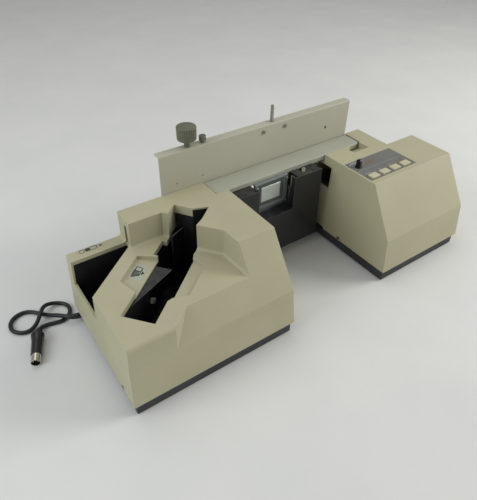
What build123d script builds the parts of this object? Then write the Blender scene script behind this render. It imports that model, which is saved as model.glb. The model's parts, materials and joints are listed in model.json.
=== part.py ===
"""Roll-film carrier of a microform reader: two moulded housings joined by a black film bridge.

Millimetres, +Z up.  Every place below is measured from three edges of the real thing: x from the
left edge of the supply housing's foot, y from the front crease of the housings, z from the table.
save() moves each piece so that the origin is under the middle of the whole object.
"""
import os
from math import cos, pi, radians, sin, tan

from build123d import *

# ---------------------------------------------------------------- the two housings
left_width = 250.0            # supply housing across its foot
bridge_gap = 186.0            # clear width between the housings at the foot
right_width = 188.0           # take-up housing across its foot
right_edge = left_width + bridge_gap
overall_width = right_edge + right_width
back_depth = 197.5            # front crease to the flat backs
front_slope = 6.7             # the foot stands this far ahead of the crease
crease_height = 80.0
deck_height = 118.3           # lower deck of the supply housing
top_height = 159.8            # top plates of both housings
shell_foot = 21.4             # lower edge of the beige shells
plate_front = 48.4            # crease to the front edge of the top plates
wall = 2.8                    # moulded wall
left_lean = 3.2               # draft of the supply housing's left face, degrees
side_lean = 1.7               # draft of the other side faces, degrees
deck_round = 4.5              # soft fillet at the foot of the deck's walls
step_round = 5.0              # rounded front edge of the deck

# ---------------------------------------------------------------- cartridge slot, a diagonal frame
slot_angle = 40.0             # the slot runs this far off the front, degrees
slot_origin = (21.3, 53.1)    # near left corner of the slot
slot_width = 44.6
slot_wide = 47.6              # the slot is this wide past its finger step
slot_length = 190.0
skirt_depth = 8.0             # beige rim round the slot
upper_skirt = 14.0            # the same under the top plate, on the slot's rear end wall
cheek_offset = 70.0           # the upright cheek stands this far across the slot
label_depth = 8.0
finger_depth = 7.0
liner_wall = 1.5
liner_floor = 30.0

# ---------------------------------------------------------------- reel bay at the back left
bay_edge = 47.0               # the bay's diagonal edge lies this far left of the slot
bay_right = 86.0
bay_back = 178.5
bay_skirt = 6.0
bay_floor = 38.0
bay_wall_thick = 6.9          # low left wall with its flange
bay_wall_top = 79.0
rib_front = 161.5             # front face of the block beside the bay

# ---------------------------------------------------------------- base trays
tray_foot = 2.0
tray_top = 24.4
tray_inset = 3.6
tray_wall = 2.5
tray_floor = 3.0
post_top = 30.0
post_radius = 5.0
post_inset = 13.0
gusset_height = 8.0
foot_radius = 8.0
screw_head_radius = 2.6
side_screw_height = 24.0

# ---------------------------------------------------------------- take-up housing
step_x = right_edge + 119.3  # the rear right corner is cut away beyond this x
step_y = 127.7                # and behind this y
panel_left = right_edge + 7.0
panel_right = right_edge + 111.3
panel_front = 58.0
panel_back = 117.2
panel_thick = 1.2
panel_recess = 1.6
button_width = 16.5
button_depth = 11.5
button_proud = 2.0
button_travel = 1.6
button_first = panel_left + 15.1
button_pitch = 23.9
button_y = panel_front + 9.0
button_count = 4
lever_x = panel_left + 14.0
lever_y = panel_back - 17.2
lever_height = 13.7
lever_neck = 4.0
window_left = panel_left + 31.0
window_front = panel_back - 20.7
window_width = 23.0
window_depth = 10.5  # ---------------------------------------------------------------- film bridge and gate
bridge_front = back_depth - 62.5
bridge_top = top_height - 5.8
bridge_sheet = 2.0
bridge_short = 19.5           # the front wall stops this far before the take-up housing
notch_left = left_width + 37.0
notch_right = left_width + 106.5
notch_floor = 95.5
compartment_floor = 84.0
gate_y = bridge_front + 22.0  # the film runs in this upright plane
gate_left = notch_left + 6.0
gate_right = notch_right + 0.5
gate_foot = 103.5
gate_top = bridge_top - 1.5
glass_left = gate_left + 11.0
glass_right = gate_right - 15.0
glass_foot = 117.0
glass_top = gate_top - 8.5
gate_rim = 7.0                # dark rim of the pressure frame round its glass
pressure_travel = 2.0
roller_y = bridge_front + 15.0
roller_radius = 2.75
roller_out = 8.0              # nearer rollers stand this far out from the notch
roller_far = 21.0             # further rollers stand this far out from the nearer ones
roller_pin_radius = 1.2

# ---------------------------------------------------------------- fence, cover and knobs
fence_gap = 0.5
fence_sheet = 2.0
fence_left = left_width - 93.7
fence_right = right_edge + 86.5
fence_foot = top_height - 13.8
fence_top = top_height + 62.2
fence_flange = 14.0
knob_setback = 7.5            # fence front to the knob's axis
knob_x = left_width - 44.0
knob_radius = 14.5
knob_low = fence_top + 11.7
knob_top = fence_top + 31.3
knob_flutes = 28
thumb_x = left_width - 18.3
thumb_radius = 5.35
thumb_low = fence_top + 3.0
thumb_top = fence_top + 10.5
pin_x = left_width + 108.7
pin_radius = 2.75
pin_top = fence_top + 27.0
pin_travel = 12.0
cover_left = left_width - 24.0
cover_right = right_edge + 85.5
cover_front = bridge_front + 25.6
cover_top = top_height - 1.2
cover_sheet = 1.5
cover_lip = cover_top - 8.9
curl_radius = 3.0
hinge_pin_radius = 1.25
recess_gap = 1.5
recess_floor = cover_lip - 2.7  # ---------------------------------------------------------------- fits and inner parts
running = 0.05                # radial clearance of a shaft in its bearing
gap = 0.3                     # between curved or moving faces
reel_x = right_edge + 69.0
reel_y = 105.0
reel_radius = 42.0
reel_middle = 130.7           # height of the film's centre line
film_width = 16.0
reel_flange = 1.2
deck_plate = 98.0
deck_sheet = 2.5
takeup_shaft_radius = 4.0
takeup_pulley_radius = 22.0
motor_x = right_edge + 149.0
motor_y = 58.0
motor_radius = 18.0
motor_length = 46.0
motor_shaft_radius = 1.5
motor_pulley_radius = 7.0
pulley_height = 8.0
belt_thick = 1.5
spindle_along = 80.0          # supply spindle's place along the slot
spindle_height = 66.0
spindle_radius = 4.0
spindle_nose = 5.0  # how far the spindle reaches into the slot and the bay
gear_teeth = 40
pinion_teeth = 12
gear_module = 1.0
gear_face = 6.0
gear_slack = 0.3              # extra centre distance, so that the teeth run free

# ---------------------------------------------------------------- cord
cord_diameter = 6.1
cord_exit_y = 187.5
cord_exit_z = 10.5
floor_z = cord_diameter / 2 + 0.05
cord_route = [
    (0.4, 187.5, 10.5), (-9.0, 189.5, 11.2), (-18.0, 197.0, 11.4), (-27.0, 206.5, 10.6),
    (-36.0, 217.8, 5.2), (-45.5, 230.5, floor_z), (-57.6, 244.3, floor_z), (-70.4, 247.5, floor_z),
    (-82.7, 242.6, floor_z), (-89.9, 231.4, floor_z), (-89.1, 218.2, floor_z), (-80.7, 207.9, floor_z),
    (-67.9, 204.5, floor_z), (-55.5, 209.2, 7.6), (-46.0, 222.5, 11.4), (-38.0, 235.1, 11.2),
    (-26.4, 239.8, 6.4), (-14.2, 236.7, floor_z), (-5.9, 227.2, floor_z), (-4.7, 214.8, floor_z),
    (-10.9, 203.7, floor_z), (-22.2, 198.4, floor_z), (-32.5, 200.2, floor_z), (-41.0, 203.2, floor_z),
    (-49.2, 202.6, 3.8), (-55.8, 198.0, 6.0), (-59.4, 190.8, 8.6), (-60.9, 186.8, 9.4),
]
plug_radius = 6.6
plug_flare = 9.2
plug_dip = 0.04               # the plug's axis falls this much in one, towards its shell
plug_length = 37.0
plug_shell_length = 12.6
pin_length = 9.0

# ---------------------------------------------------------------- frame
fence_y = back_depth + fence_gap
overall_depth = front_slope + fence_y + knob_setback + knob_radius
frame_shift = (-overall_width / 2, front_slope - overall_depth / 2, 0)
knob_y = fence_y + knob_setback
slot_run = (cos(radians(slot_angle)), sin(radians(slot_angle)))
slot_across = (slot_run[1], -slot_run[0])
side_gain = tan(radians(side_lean))
left_gain = tan(radians(left_lean))
foot_gain = front_slope / (crease_height - shell_foot)
plate_gain = plate_front / (top_height - crease_height)


def save(shape, name):
    """Moves a piece from the working places to the part's own frame and writes it."""
    export_step(Pos(*frame_shift) * shape, f"parts/{name}.step")


def slot_point(along, across):
    """A place on the table, from the slot's own length and width."""
    x = slot_origin[0] + along * slot_run[0] + across * slot_across[0]
    y = slot_origin[1] + along * slot_run[1] + across * slot_across[1]
    return (x, y)


def prism(points, low, high):
    """An upright block on an outline seen from above."""
    return extrude(Pos(0, 0, low) * Polygon(*points, align=None), amount=high - low, dir=(0, 0, 1))


def grown(points, amount):
    """An outline pushed outwards (or inwards) by an amount, with sharp corners."""
    return offset(Polygon(*points, align=None), amount=amount, kind=Kind.INTERSECTION)


def raised(face, low, high):
    return extrude(Pos(0, 0, low) * face, amount=high - low, dir=(0, 0, 1))


def block(x0, x1, y0, y1, z0, z1):
    return Pos((x0 + x1) / 2, (y0 + y1) / 2, (z0 + z1) / 2) * Box(x1 - x0, y1 - y0, z1 - z0)


def together(pieces):
    """Several separate solids in one node."""
    return Compound([solid for piece in pieces for solid in piece.solids()])


def rod(x, y, z0, z1, radius):
    return Pos(x, y, (z0 + z1) / 2) * Cylinder(radius, z1 - z0)


def rod_x(x0, x1, y, z, radius):
    return Pos((x0 + x1) / 2, y, z) * Rot(0, 90, 0) * Cylinder(radius, x1 - x0)


def rod_y(x, y0, y1, z, radius):
    return Pos(x, (y0 + y1) / 2, z) * Rot(90, 0, 0) * Cylinder(radius, y1 - y0)


def across_rod(along, height, near, far, radius):
    """A rod that lies across the slot, from one distance to another."""
    x, y = slot_point(along, (near + far) / 2)
    plane = Plane(origin=(x, y, height), z_dir=(*slot_across, 0))
    return plane * Cylinder(radius, abs(far - near))


# ---------------------------------------------------------------- housings
def side_outline(front_top, inset):
    """Side view of a housing: leaning foot, crease, front, top plate and upright back."""
    low = shell_foot - 2 * inset
    foot_y = -(crease_height - low) * foot_gain
    points = [(foot_y, low), (0, crease_height), (front_top, top_height), (back_depth, top_height), (back_depth, low)]
    face = Polygon(*points, align=None)
    if inset:
        face = offset(face, amount=-inset, kind=Kind.INTERSECTION)
    return face


def side_block(front_top, inset):
    face = Plane.YZ * side_outline(front_top, inset)
    return Pos(-50, 0, 0) * extrude(face, amount=overall_width + 100, dir=(1, 0, 0))


def draft_block(left, right, lean_left, lean_right, inset):
    """The space between two leaning side faces."""
    low = shell_foot - 30
    high = top_height + 10
    points = [
        (left + lean_left * (low - shell_foot) + inset, low),
        (right - lean_right * (low - shell_foot) - inset, low),
        (right - lean_right * (high - shell_foot) - inset, high),
        (left + lean_left * (high - shell_foot) + inset, high),
    ]
    face = Pos(0, -50, 0) * (Plane.XZ * Polygon(*points, align=None))
    return extrude(face, amount=back_depth + 100, dir=(0, 1, 0))


deck_outline = [
    (-60, -60), (left_width - 57, -60), (left_width - 61.5, 42), (left_width - 64, 79.5), slot_point(144, 46.7), slot_point(158, 0.6),
    (136, rib_front), (bay_right, rib_front), (bay_right, 290), (-60, 290),
]
slot_outline = [
    slot_point(0, 0), slot_point(0, slot_width), slot_point(39, slot_width), slot_point(43.5, slot_wide),
    slot_point(124, slot_wide), slot_point(131, 45.6), slot_point(144, 46.7), slot_point(160, 49.5),
    slot_point(slot_length, 49.5), slot_point(178.5, 29), slot_point(181, 0), slot_point(147, 0),
    slot_point(147, -7), slot_point(115, -7), slot_point(115, 0),
]


def bay_outline(left):
    """The bay seen from above: a diagonal edge parallel to the slot, closed by the rim and the block."""
    start = slot_point(0, -bay_edge)
    slope = slot_run[1] / slot_run[0]
    front_y = start[1] + (left - start[0]) * slope
    right_y = start[1] + (bay_right - start[0]) * slope
    return [(left, front_y), (bay_right, right_y), (bay_right, bay_back), (left, bay_back)]


def supply_form(inset):
    """Outer form of the supply housing, or the same form drawn in by a wall."""
    reach = 400
    cheek_side = [
        slot_point(-reach, -reach), slot_point(reach, -reach),
        slot_point(reach, cheek_offset - inset), slot_point(-reach, cheek_offset - inset),
    ]
    upright = side_block(0, inset) & prism(cheek_side, -10, top_height + 10)
    form = upright + side_block(plate_front, inset)
    form = form & draft_block(0, left_width, left_gain, side_gain, inset)
    deck = grown(deck_outline, inset) if inset else Polygon(*deck_outline, align=None)
    return form - raised(deck, deck_height - inset, top_height + 20)


def edges_near(shape, test):
    return [edge for edge in shape.edges() if test(edge)]


def round_supply(form):
    """Soft fillets: the deck walls' feet, the deck's front edge and the moulded outer edges."""
    def deck_foot(edge):
        middle = edge @ 0.5
        flat = abs(middle.Z - deck_height) < 0.01 and abs((edge @ 0).Z - (edge @ 1).Z) < 0.01
        inside = middle.Y > 30 and middle.X > bay_right - 1
        return flat and inside and middle.Y < back_depth - 1 and middle.X < left_width - 60
    form = fillet(edges_near(form, deck_foot), deck_round)

    def deck_front(edge):
        middle = edge @ 0.5
        return abs(middle.Z - deck_height) < 0.01 and abs(middle.Y) < 0.5
    form = fillet(edges_near(form, deck_front), step_round)
    return form


def pocket(points, depth_near, depth_far, reach, inset, near):
    """A finger recess beside the slot whose floor slopes along the slot's width."""
    profile = [
        (near, deck_height - depth_near - inset),
        (near + reach, deck_height - depth_far - inset),
        (near + reach, deck_height + 5 * (inset == 0)),
        (near, deck_height + 5 * (inset == 0)),
    ]
    start = slot_point(-20, 0)
    plane = Plane(origin=(*start, 0), x_dir=(*slot_across, 0), z_dir=(-slot_run[0], -slot_run[1], 0))
    wedge = extrude(plane * Polygon(*profile, align=None), amount=slot_length + 40, dir=(*slot_run, 0))
    outline = grown(points, inset) if inset else Polygon(*points, align=None)
    return raised(outline, deck_height - 25, deck_height + 20) & wedge


label_outline = [slot_point(41.5, 1), slot_point(54.8, -27.5), slot_point(107, -27.5), slot_point(113, 1)]
finger_outline = [slot_point(43.7, 46), slot_point(56.5, 67.4), slot_point(112, 67.4), slot_point(124, 46)]


def slot_ring(thick):
    """The band round the slot, and the part of it that lies under the lower deck."""
    ring = grown(slot_outline, thick) - Polygon(*slot_outline, align=None)
    return ring, ring & grown(deck_outline, thick)


def rear_end():
    """Where the slot's end wall carries a rim under the top plate."""
    return Polygon(slot_point(181, -5), slot_point(181, 0), slot_point(178.5, 29), slot_point(190, 29),
                   slot_point(190, -5), align=None)


def slot_skirt():
    """Beige rims that hang down round the slot, deeper on the wall beside the block."""
    ring, deck_ring = slot_ring(wall)
    rim = raised(deck_ring, deck_height - skirt_depth, deck_height)
    rim += raised(ring & rear_end(), top_height - upper_skirt, top_height)
    tall = [slot_point(156, 0), slot_point(181, 0), slot_point(181, -wall), slot_point(156, -wall)]
    return rim + prism(tall, deck_height, top_height)


def cover_pocket(left, right, inset):
    """The sunk seat for one end of the cover."""
    return block(left - inset, right + inset, cover_front - recess_gap - inset, back_depth + 20,
                 recess_floor - inset, top_height + 20 * (inset == 0))


def corner_gussets(corners, outer):
    half = post_radius + 1
    gussets = None
    for x, y in corners:
        reach_x = x - half - 12 if x in low_side else x - half
        far_x = x + half if x in low_side else x + half + 12
        reach_y = y - half - 14 if y == post_inset else y - half
        far_y = y + half if y == post_inset else y + half + 12
        piece = block(reach_x, far_x, reach_y, far_y, post_top, post_top + gusset_height)
        gussets = piece if gussets is None else gussets + piece
    return gussets & outer


supply_posts = [
    (post_inset, post_inset), (left_width - post_inset, post_inset),
    (post_inset, back_depth - post_inset + 2), (left_width - post_inset, back_depth - post_inset + 2),
]
takeup_posts = [
    (right_edge + post_inset, post_inset), (overall_width - post_inset, post_inset),
    (right_edge + post_inset, back_depth - post_inset), (step_x - post_inset, back_depth - post_inset),
    (overall_width - post_inset, step_y - post_inset),
]
low_side = (post_inset, right_edge + post_inset)


def side_notch(x, y, depth):
    """A U-shaped notch in the foot of a shell, over a side screw."""
    width = screw_head_radius + 1.0
    return block(x - depth, x + depth, y - width, y + width, shell_foot - 5, side_screw_height) + rod_x(
        x - depth, x + depth, y, side_screw_height, width)


film_window = (bridge_front + 5, bridge_front + 41, 104.0, 143.0)  # y and z limits of the film's way through a side wall
tail_width = (bridge_front + 3, bridge_front + 43)  # y limits of the bridge's tails inside the housings
tail_reach = 22.0
tail_top = tray_top
supply_screw_y = 28.0
takeup_screw_y = 98.0


def bridge_ways(x, reach):
    """Openings in a side wall for the film and for the bridge's tail."""
    y0, y1, z0, z1 = film_window
    way = block(x - reach, x + reach, y0, y1, z0, z1)
    return way + block(x - reach, x + reach, tail_width[0] - 0.5, tail_width[1] + 0.5, shell_foot - 5, tail_top + 0.4)


def supply_housing():
    outer = round_supply(supply_form(0))
    inner = supply_form(wall)
    shell = outer - inner
    near = slot_wide - 2
    solid = slot_skirt() & outer
    solid += pocket(label_outline, label_depth, 5, -29, wall, 0)
    solid += pocket(finger_outline, finger_depth, 2.5, 22, wall, near)
    bay = bay_outline(-60)
    inner_bay = bay_outline(bay_wall_thick)
    ring = grown(bay, wall) - Polygon(*bay, align=None)
    solid += raised(ring, deck_height - bay_skirt, deck_height)
    solid += prism(bay_outline(-60), bay_wall_top - 5, bay_wall_top)
    solid += cover_pocket(cover_left - recess_gap, left_width + 20, wall)
    shell += solid & outer
    shell += corner_gussets(supply_posts, outer)
    shell -= prism(slot_outline, liner_floor, top_height + 20)
    shell -= pocket(label_outline, label_depth, 5, -29, 0, 0)
    shell -= pocket(finger_outline, finger_depth, 2.5, 22, 0, near)
    shell -= prism(bay, bay_wall_top, deck_height + 10)
    shell -= prism(inner_bay, bay_floor, deck_height)
    shell -= cover_pocket(cover_left - recess_gap, left_width + 20, 0)
    shell -= block(bay_right - 2, bay_right + 2 * wall, 171, bay_back, deck_height, 149)
    shell -= bridge_ways(left_width, 10)
    shell -= side_notch(0, supply_screw_y, 12)
    return shell


def takeup_form(inset):
    """Outer form of the take-up housing: the same side view, with the rear right corner cut away."""
    form = side_block(plate_front, inset) & draft_block(right_edge, overall_width, side_gain, side_gain, inset)
    corner = block(step_x - inset, overall_width + 50, step_y - inset, back_depth + 50, -50, top_height + 50)
    return form - corner


def panel_block(grow, low, high):
    return block(panel_left - grow, panel_right + grow, panel_front - grow, panel_back + grow, low, high)


def button_centre(index):
    return button_first + index * button_pitch


pit_front = cover_front - 24.6
pit_back = cover_front + 0.4


def finger_pit(inset):
    """The sloping pit in front of the cover's corner, for lifting it."""
    points = [(cover_right - 37, pit_back - 13.5), (cover_right - 35, pit_front), (cover_right - 0.5, pit_front + 2),
              (cover_right - 2, pit_back), (cover_right - 21.5, pit_back)]
    outline = grown(points, inset) if inset else Polygon(*points, align=None)
    profile = [(pit_front - inset, top_height - inset), (pit_back + inset, recess_floor - inset),
               (pit_back + inset, top_height + 10 * (inset == 0)), (pit_front - inset, top_height + 10 * (inset == 0))]
    wedge = Pos(cover_right - 50, 0, 0) * (Plane.YZ * Polygon(*profile, align=None))
    wedge = extrude(wedge, amount=70, dir=(1, 0, 0))
    return raised(outline, recess_floor - 20, top_height + 20) & wedge


def takeup_housing():
    outer = takeup_form(0)
    shell = outer - takeup_form(wall)
    solid = cover_pocket(right_edge - 20, cover_right + recess_gap, wall) + finger_pit(wall)
    solid += panel_block(2, top_height - panel_recess - wall + 1, top_height)
    shell += solid & outer
    shell += corner_gussets(takeup_posts, outer)
    shell -= cover_pocket(right_edge - 20, cover_right + recess_gap, 0)
    shell -= finger_pit(0)
    shell -= panel_block(0, top_height - panel_recess, top_height + 10)
    for index in range(button_count):
        x = button_centre(index)
        shell -= block(x - button_width / 2 - key_gap, x + button_width / 2 + key_gap,
                       button_y - button_depth / 2 - key_gap, button_y + button_depth / 2 + key_gap,
                       top_height - 20, top_height + 5)
    for x, y in board_posts:
        shell += rod(x, y, board_top, panel_low, 3)
    shell -= rod(lever_x, lever_y, top_height - 20, top_height + 5, lever_neck + gap)
    shell -= block(window_left + 2, window_left + window_width - 2, window_front + 2,
                   window_front + window_depth - 2, top_height - 10, top_height)
    shell -= bridge_ways(right_edge, 10)
    shell -= side_notch(right_edge, takeup_screw_y, 12)
    return shell


# ---------------------------------------------------------------- trays, feet and screws
def tray(outline_face, posts, screw, bridge_side):
    """An open tray with posts that carry the shell, notched where the bridge's tail comes in."""
    inner = offset(outline_face, amount=-tray_wall, kind=Kind.INTERSECTION)
    shape = raised(outline_face, tray_foot, tray_top) - raised(inner, tray_foot + tray_floor, tray_top + 5)
    shape -= block(bridge_side - 10, bridge_side + 10, tail_width[0] - 0.3, tail_width[1] + 0.3, shell_foot, tray_top + 1)
    for x, y in posts:
        shape += rod(x, y, tray_foot, post_top, post_radius)
    for x, y in posts:
        shape -= rod(x, y, tray_foot - 1, tray_foot + 4, screw_head_radius + 0.4)
        shape -= rod(x, y, tray_foot - 1, post_top + 1, 1.6)
    return shape - rod_x(screw[0] - 2, screw[0] + 10, screw[1], side_screw_height - 3.5, 1.3)


def supply_outline():
    points = [(tray_inset, -front_slope + tray_inset), (left_width - tray_inset, -front_slope + tray_inset),
              (left_width - tray_inset, back_depth - tray_inset), (tray_inset, back_depth - tray_inset)]
    return Polygon(*points, align=None)


def takeup_outline():
    left = right_edge + tray_inset
    right = overall_width - tray_inset
    points = [(left, -front_slope + tray_inset), (right, -front_slope + tray_inset), (right, step_y - tray_inset),
              (step_x - tray_inset, step_y - tray_inset), (step_x - tray_inset, back_depth - tray_inset),
              (left, back_depth - tray_inset)]
    return Polygon(*points, align=None)


def feet(spots):
    group = []
    for x, y in spots:
        foot = rod(x, y, 0, tray_foot, foot_radius)
        group.append(fillet(foot.edges().sort_by(Axis.Z)[0], 0.8))
    return together(group)


supply_feet = [(41, 12), (left_width - 41, 12), (30, 165), (left_width - 41, 178)]
takeup_feet = [(right_edge + 27, 12), (overall_width - 61, 12), (right_edge + 27, 178), (step_x - 27, 178)]


def shell_screws(posts, side_x, side_y):
    """Screws up through the tray posts, and one in each side under its notch."""
    group = []
    for x, y in posts:
        screw = rod(x, y, tray_foot + 1, tray_foot + 4, screw_head_radius) + rod(x, y, tray_foot + 4, post_top, 1.5)
        group.append(screw)
    x = side_x + tray_inset
    z = side_screw_height - 3.5
    group.append(rod_x(x - 2.2, x, side_y, z, screw_head_radius) + rod_x(x, x + 6, side_y, z, 1.2))
    return together(group)


# ---------------------------------------------------------------- inside the supply housing
def legs(spots, low, high, radius):
    shape = None
    for x, y in spots:
        leg = rod(x, y, low, high, radius)
        shape = leg if shape is None else shape + leg
    return shape


tray_inside = tray_foot + tray_floor
slot_hole = spindle_radius + gap + 0.4


def slot_liner():
    """Black tub below the slot, down to its own floor, on four legs."""
    face = grown(slot_outline, liner_wall)
    tub = raised(face - Polygon(*slot_outline, align=None), liner_floor, top_height)
    tub &= supply_form(wall + 0.2)
    ring, deck_ring = slot_ring(wall + 0.2)
    tub -= raised(deck_ring, deck_height - skirt_depth, deck_height + 1)
    tub -= raised(ring & rear_end(), top_height - upper_skirt, top_height + 5)
    tub -= prism([slot_point(150, 5), slot_point(184, 5), slot_point(184, -10), slot_point(150, -10)],
                 deck_height - 0.2, top_height)
    tub -= pocket(label_outline, label_depth, 5, -29, wall + 0.2, 0)
    tub -= pocket(finger_outline, finger_depth, 2.5, 22, wall + 0.2, slot_wide - 2)
    tub += raised(face, liner_floor - liner_wall, liner_floor)
    spots = [slot_point(10, 8), slot_point(10, 36), slot_point(165, 8), slot_point(165, 40)]
    tub += legs(spots, tray_inside, liner_floor, 4)
    return tub - across_rod(spindle_along, spindle_height, -20, 20, slot_hole)


def threading_shelf():
    """Thin triangular ledge that guides a cartridge into the slot, with a turned-down tab."""
    outline = [slot_point(26, gap), slot_point(104, 24.2), slot_point(104, gap)]
    shelf = prism(outline, 107, 108.2)
    tab = [slot_point(60, gap), slot_point(100, gap), slot_point(100, 1.5 + gap), slot_point(60, 1.5 + gap)]
    return shelf + prism(tab, 92, 107)


def threading_guide():
    """Upright sheet in the slot that steers the film leader, on a foot on the liner's floor."""
    a = slot_point(148, 7.4)
    b = slot_point(173.7, 15.1)
    length = ((b[0] - a[0]) ** 2 + (b[1] - a[1]) ** 2) ** 0.5
    plane = Plane(origin=(*a, 0), x_dir=(b[0] - a[0], b[1] - a[1], 0), z_dir=(0, 0, 1))
    plate = plane * block(0, length, -1, 1, liner_floor, 128)
    foot = plane * block(0, length, -6, 6, liner_floor, liner_floor + 2)
    return plate + foot


def bay_liner():
    """Black tub below the reel bay."""
    outline = bay_outline(bay_wall_thick + liner_wall)
    face = grown(outline, liner_wall)
    tub = raised(face - Polygon(*outline, align=None), bay_floor, top_height)
    tub &= supply_form(wall + 0.2)
    tub -= block(-50, bay_wall_thick + liner_wall + 0.1, 0, 250, bay_wall_top - 5.2, top_height)
    tub -= raised(grown(bay_outline(-60), wall + 0.2), deck_height - bay_skirt, top_height)
    tub += raised(face, bay_floor - liner_wall, bay_floor)
    spots = [(22, 168), (76, 172), (22, 126)]
    tub += legs(spots, tray_inside, bay_floor, 4)
    return tub - across_rod(spindle_along, spindle_height, -bay_edge - 10, -bay_edge + 10, slot_hole)


def gear(teeth, bore, face_width):
    """A spur gear: one tooth outline repeated round the pitch circle."""
    pitch = gear_module * teeth / 2
    root = pitch - 1.25 * gear_module
    tip = pitch + gear_module
    width = pi * gear_module / 2
    tooth = Polygon((root - 0.4, -width * 0.62), (pitch, -width * 0.46), (tip, -width * 0.24),
                    (tip, width * 0.24), (pitch, width * 0.46), (root - 0.4, width * 0.62), align=None)
    outline = Circle(root)
    for index in range(teeth):
        outline += Rot(0, 0, 360 * index / teeth) * tooth
    return extrude(outline - Circle(bore), amount=face_width / 2, both=True)


def across_plane(along, height, across):
    x, y = slot_point(along, across)
    return Plane(origin=(x, y, height), x_dir=(*slot_run, 0), z_dir=(*slot_across, 0))


gear_across = -10.0
motor_drop = gear_module * (gear_teeth + pinion_teeth) / 2 + gear_slack
supply_motor_height = spindle_height - motor_drop
bearing_places = (-43.5, -5.0)
bearing_thick = 3.0


def supply_spindle():
    """Square-nosed drive spindle that reaches the slot on one side and the bay on the other."""
    rod_length = across_rod(spindle_along, spindle_height, -bay_edge - spindle_nose, spindle_nose, spindle_radius)
    shape = rod_length + across_plane(spindle_along, spindle_height, gear_across) * gear(gear_teeth, 0.5, gear_face)
    for across in (-bay_edge - spindle_nose + 2, spindle_nose - 2):
        shape += across_plane(spindle_along, spindle_height, across) * Box(2.6 * spindle_radius, 2.2, 4)
    collar = across_rod(spindle_along, spindle_height, gear_across - 5, gear_across + gear_face / 2 + 0.2, 7)
    return shape + collar


def spindle_bracket():
    """Sheet bracket on the tray with the spindle's two bearings and the motor's plate."""
    shape = None
    for across in bearing_places:
        plane = across_plane(spindle_along, 0, across)
        plate = plane * Pos(0, (tray_inside + spindle_height + 9) / 2, 0) * Box(
            24, spindle_height + 9 - tray_inside, bearing_thick)
        shape = plate if shape is None else shape + plate
    shape += across_foot()
    shape -= across_rod(spindle_along, spindle_height, -60, 10, spindle_radius + running)
    return shape - across_rod(spindle_along, supply_motor_height, bearing_places[0] - 5, bearing_places[0] + 5, 4)


def across_foot():
    corners = [slot_point(spindle_along - 12, bearing_places[0] - 1.5), slot_point(spindle_along + 12, bearing_places[0] - 1.5),
               slot_point(spindle_along + 12, bearing_places[1] + 1.5), slot_point(spindle_along - 12, bearing_places[1] + 1.5)]
    return prism(corners, tray_inside, tray_inside + 2)


# ---------------------------------------------------------------- film bridge
def lean_at(z):
    return side_gain * (z - shell_foot)


def bridge_front_face():
    """Front wall between the leaning side faces, with the notch over the gate."""
    left = left_width + 0.4
    right = right_edge - bridge_short
    points = [(left, shell_foot), (right, shell_foot), (right - lean_at(bridge_top), bridge_top),
              (notch_right, bridge_top), (notch_right, notch_floor), (notch_left, notch_floor),
              (notch_left, bridge_top), (left - lean_at(bridge_top), bridge_top)]
    face = Pos(0, bridge_front, 0) * (Plane.XZ * Polygon(*points, align=None))
    return extrude(face, amount=bridge_sheet, dir=(0, 1, 0))


def bridge_chassis():
    """Black folded chassis: front and back walls, floor with tails, cheeks and film shelf."""
    left = left_width + 0.4
    right = right_edge - 0.4
    back = back_depth - bridge_sheet
    inside = bridge_front + bridge_sheet
    shape = bridge_front_face()
    shape += block(left, right, bridge_front, back_depth, shell_foot, shell_foot + bridge_sheet)
    shape += block(left, right, back, back_depth, shell_foot, bridge_wall_top)
    shape += block(left - tail_reach, right + tail_reach, tail_width[0], tail_width[1], shell_foot, shell_foot + bridge_sheet)
    shelf_top = notch_floor
    shape += block(notch_left - bridge_sheet, notch_right + bridge_sheet, inside, gate_y + 8, shelf_top - bridge_sheet, shelf_top)
    for x0 in (notch_left - bridge_sheet, notch_right):
        shape += block(x0, x0 + bridge_sheet, inside, roller_y - 6, compartment_floor - bridge_sheet, bridge_top)
    for x0, x1 in ((left, notch_left), (notch_right, right_edge - bridge_short)):
        shape += block(x0, x1, inside, back, compartment_floor - bridge_sheet, compartment_floor)
    window = block(glass_left - 4, glass_right + 4, back - 5, back_depth + 5, glass_foot - 4, glass_top + 1)
    shape -= window
    for x in hinge_ears:
        half = ear_width / 2
        shape += block(x - half, x + half, hinge_y - ear_reach, back_depth, bridge_wall_top - 3, bridge_wall_top)
        shape += block(x - half, x + half, hinge_y - ear_reach, hinge_y, bridge_wall_top - 3, hinge_z)
    shape -= rod_x(left, right, hinge_y, hinge_z, hinge_pin_radius + running)
    for x in fence_screw_places:
        shape += rod_y(x, back_depth - 0.1, fence_y, fence_screw_z, 4)
        shape -= rod_y(x, back - 5, fence_y + 5, fence_screw_z, 1.6)
    return shape


fence_screw_places = (left_width + 12, right_edge - 12)
fence_screw_z = top_height - 9.3
hinge_ears = (left_width + 8, left_width + 93, right_edge - 8)
ear_width = 10.0
ear_reach = 2.8               # each ear is a saddle under the front of the hinge pin
hinge_y = back_depth - 0.1 - curl_radius
hinge_z = cover_top - curl_radius
bridge_wall_top = hinge_z - curl_radius - 0.6


# ---------------------------------------------------------------- film gate and rollers
frame_thick = 3.0
plate_thick = 2.0
film_gap = 0.3
guide_pin_radius = 1.2
guide_pins = [(gate_left + 2.0, gate_foot + 3), (gate_right - 3.5, gate_foot + 3),
              (gate_left + 2.0, gate_top - 4), (gate_right - 3.5, gate_top - 4)]


def gate_frame(margin, front, back):
    """A flat upright ring round the glass, wider than it by a margin."""
    return block(glass_left - margin, glass_right + margin, front, back, glass_foot - margin, glass_top + margin)


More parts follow.
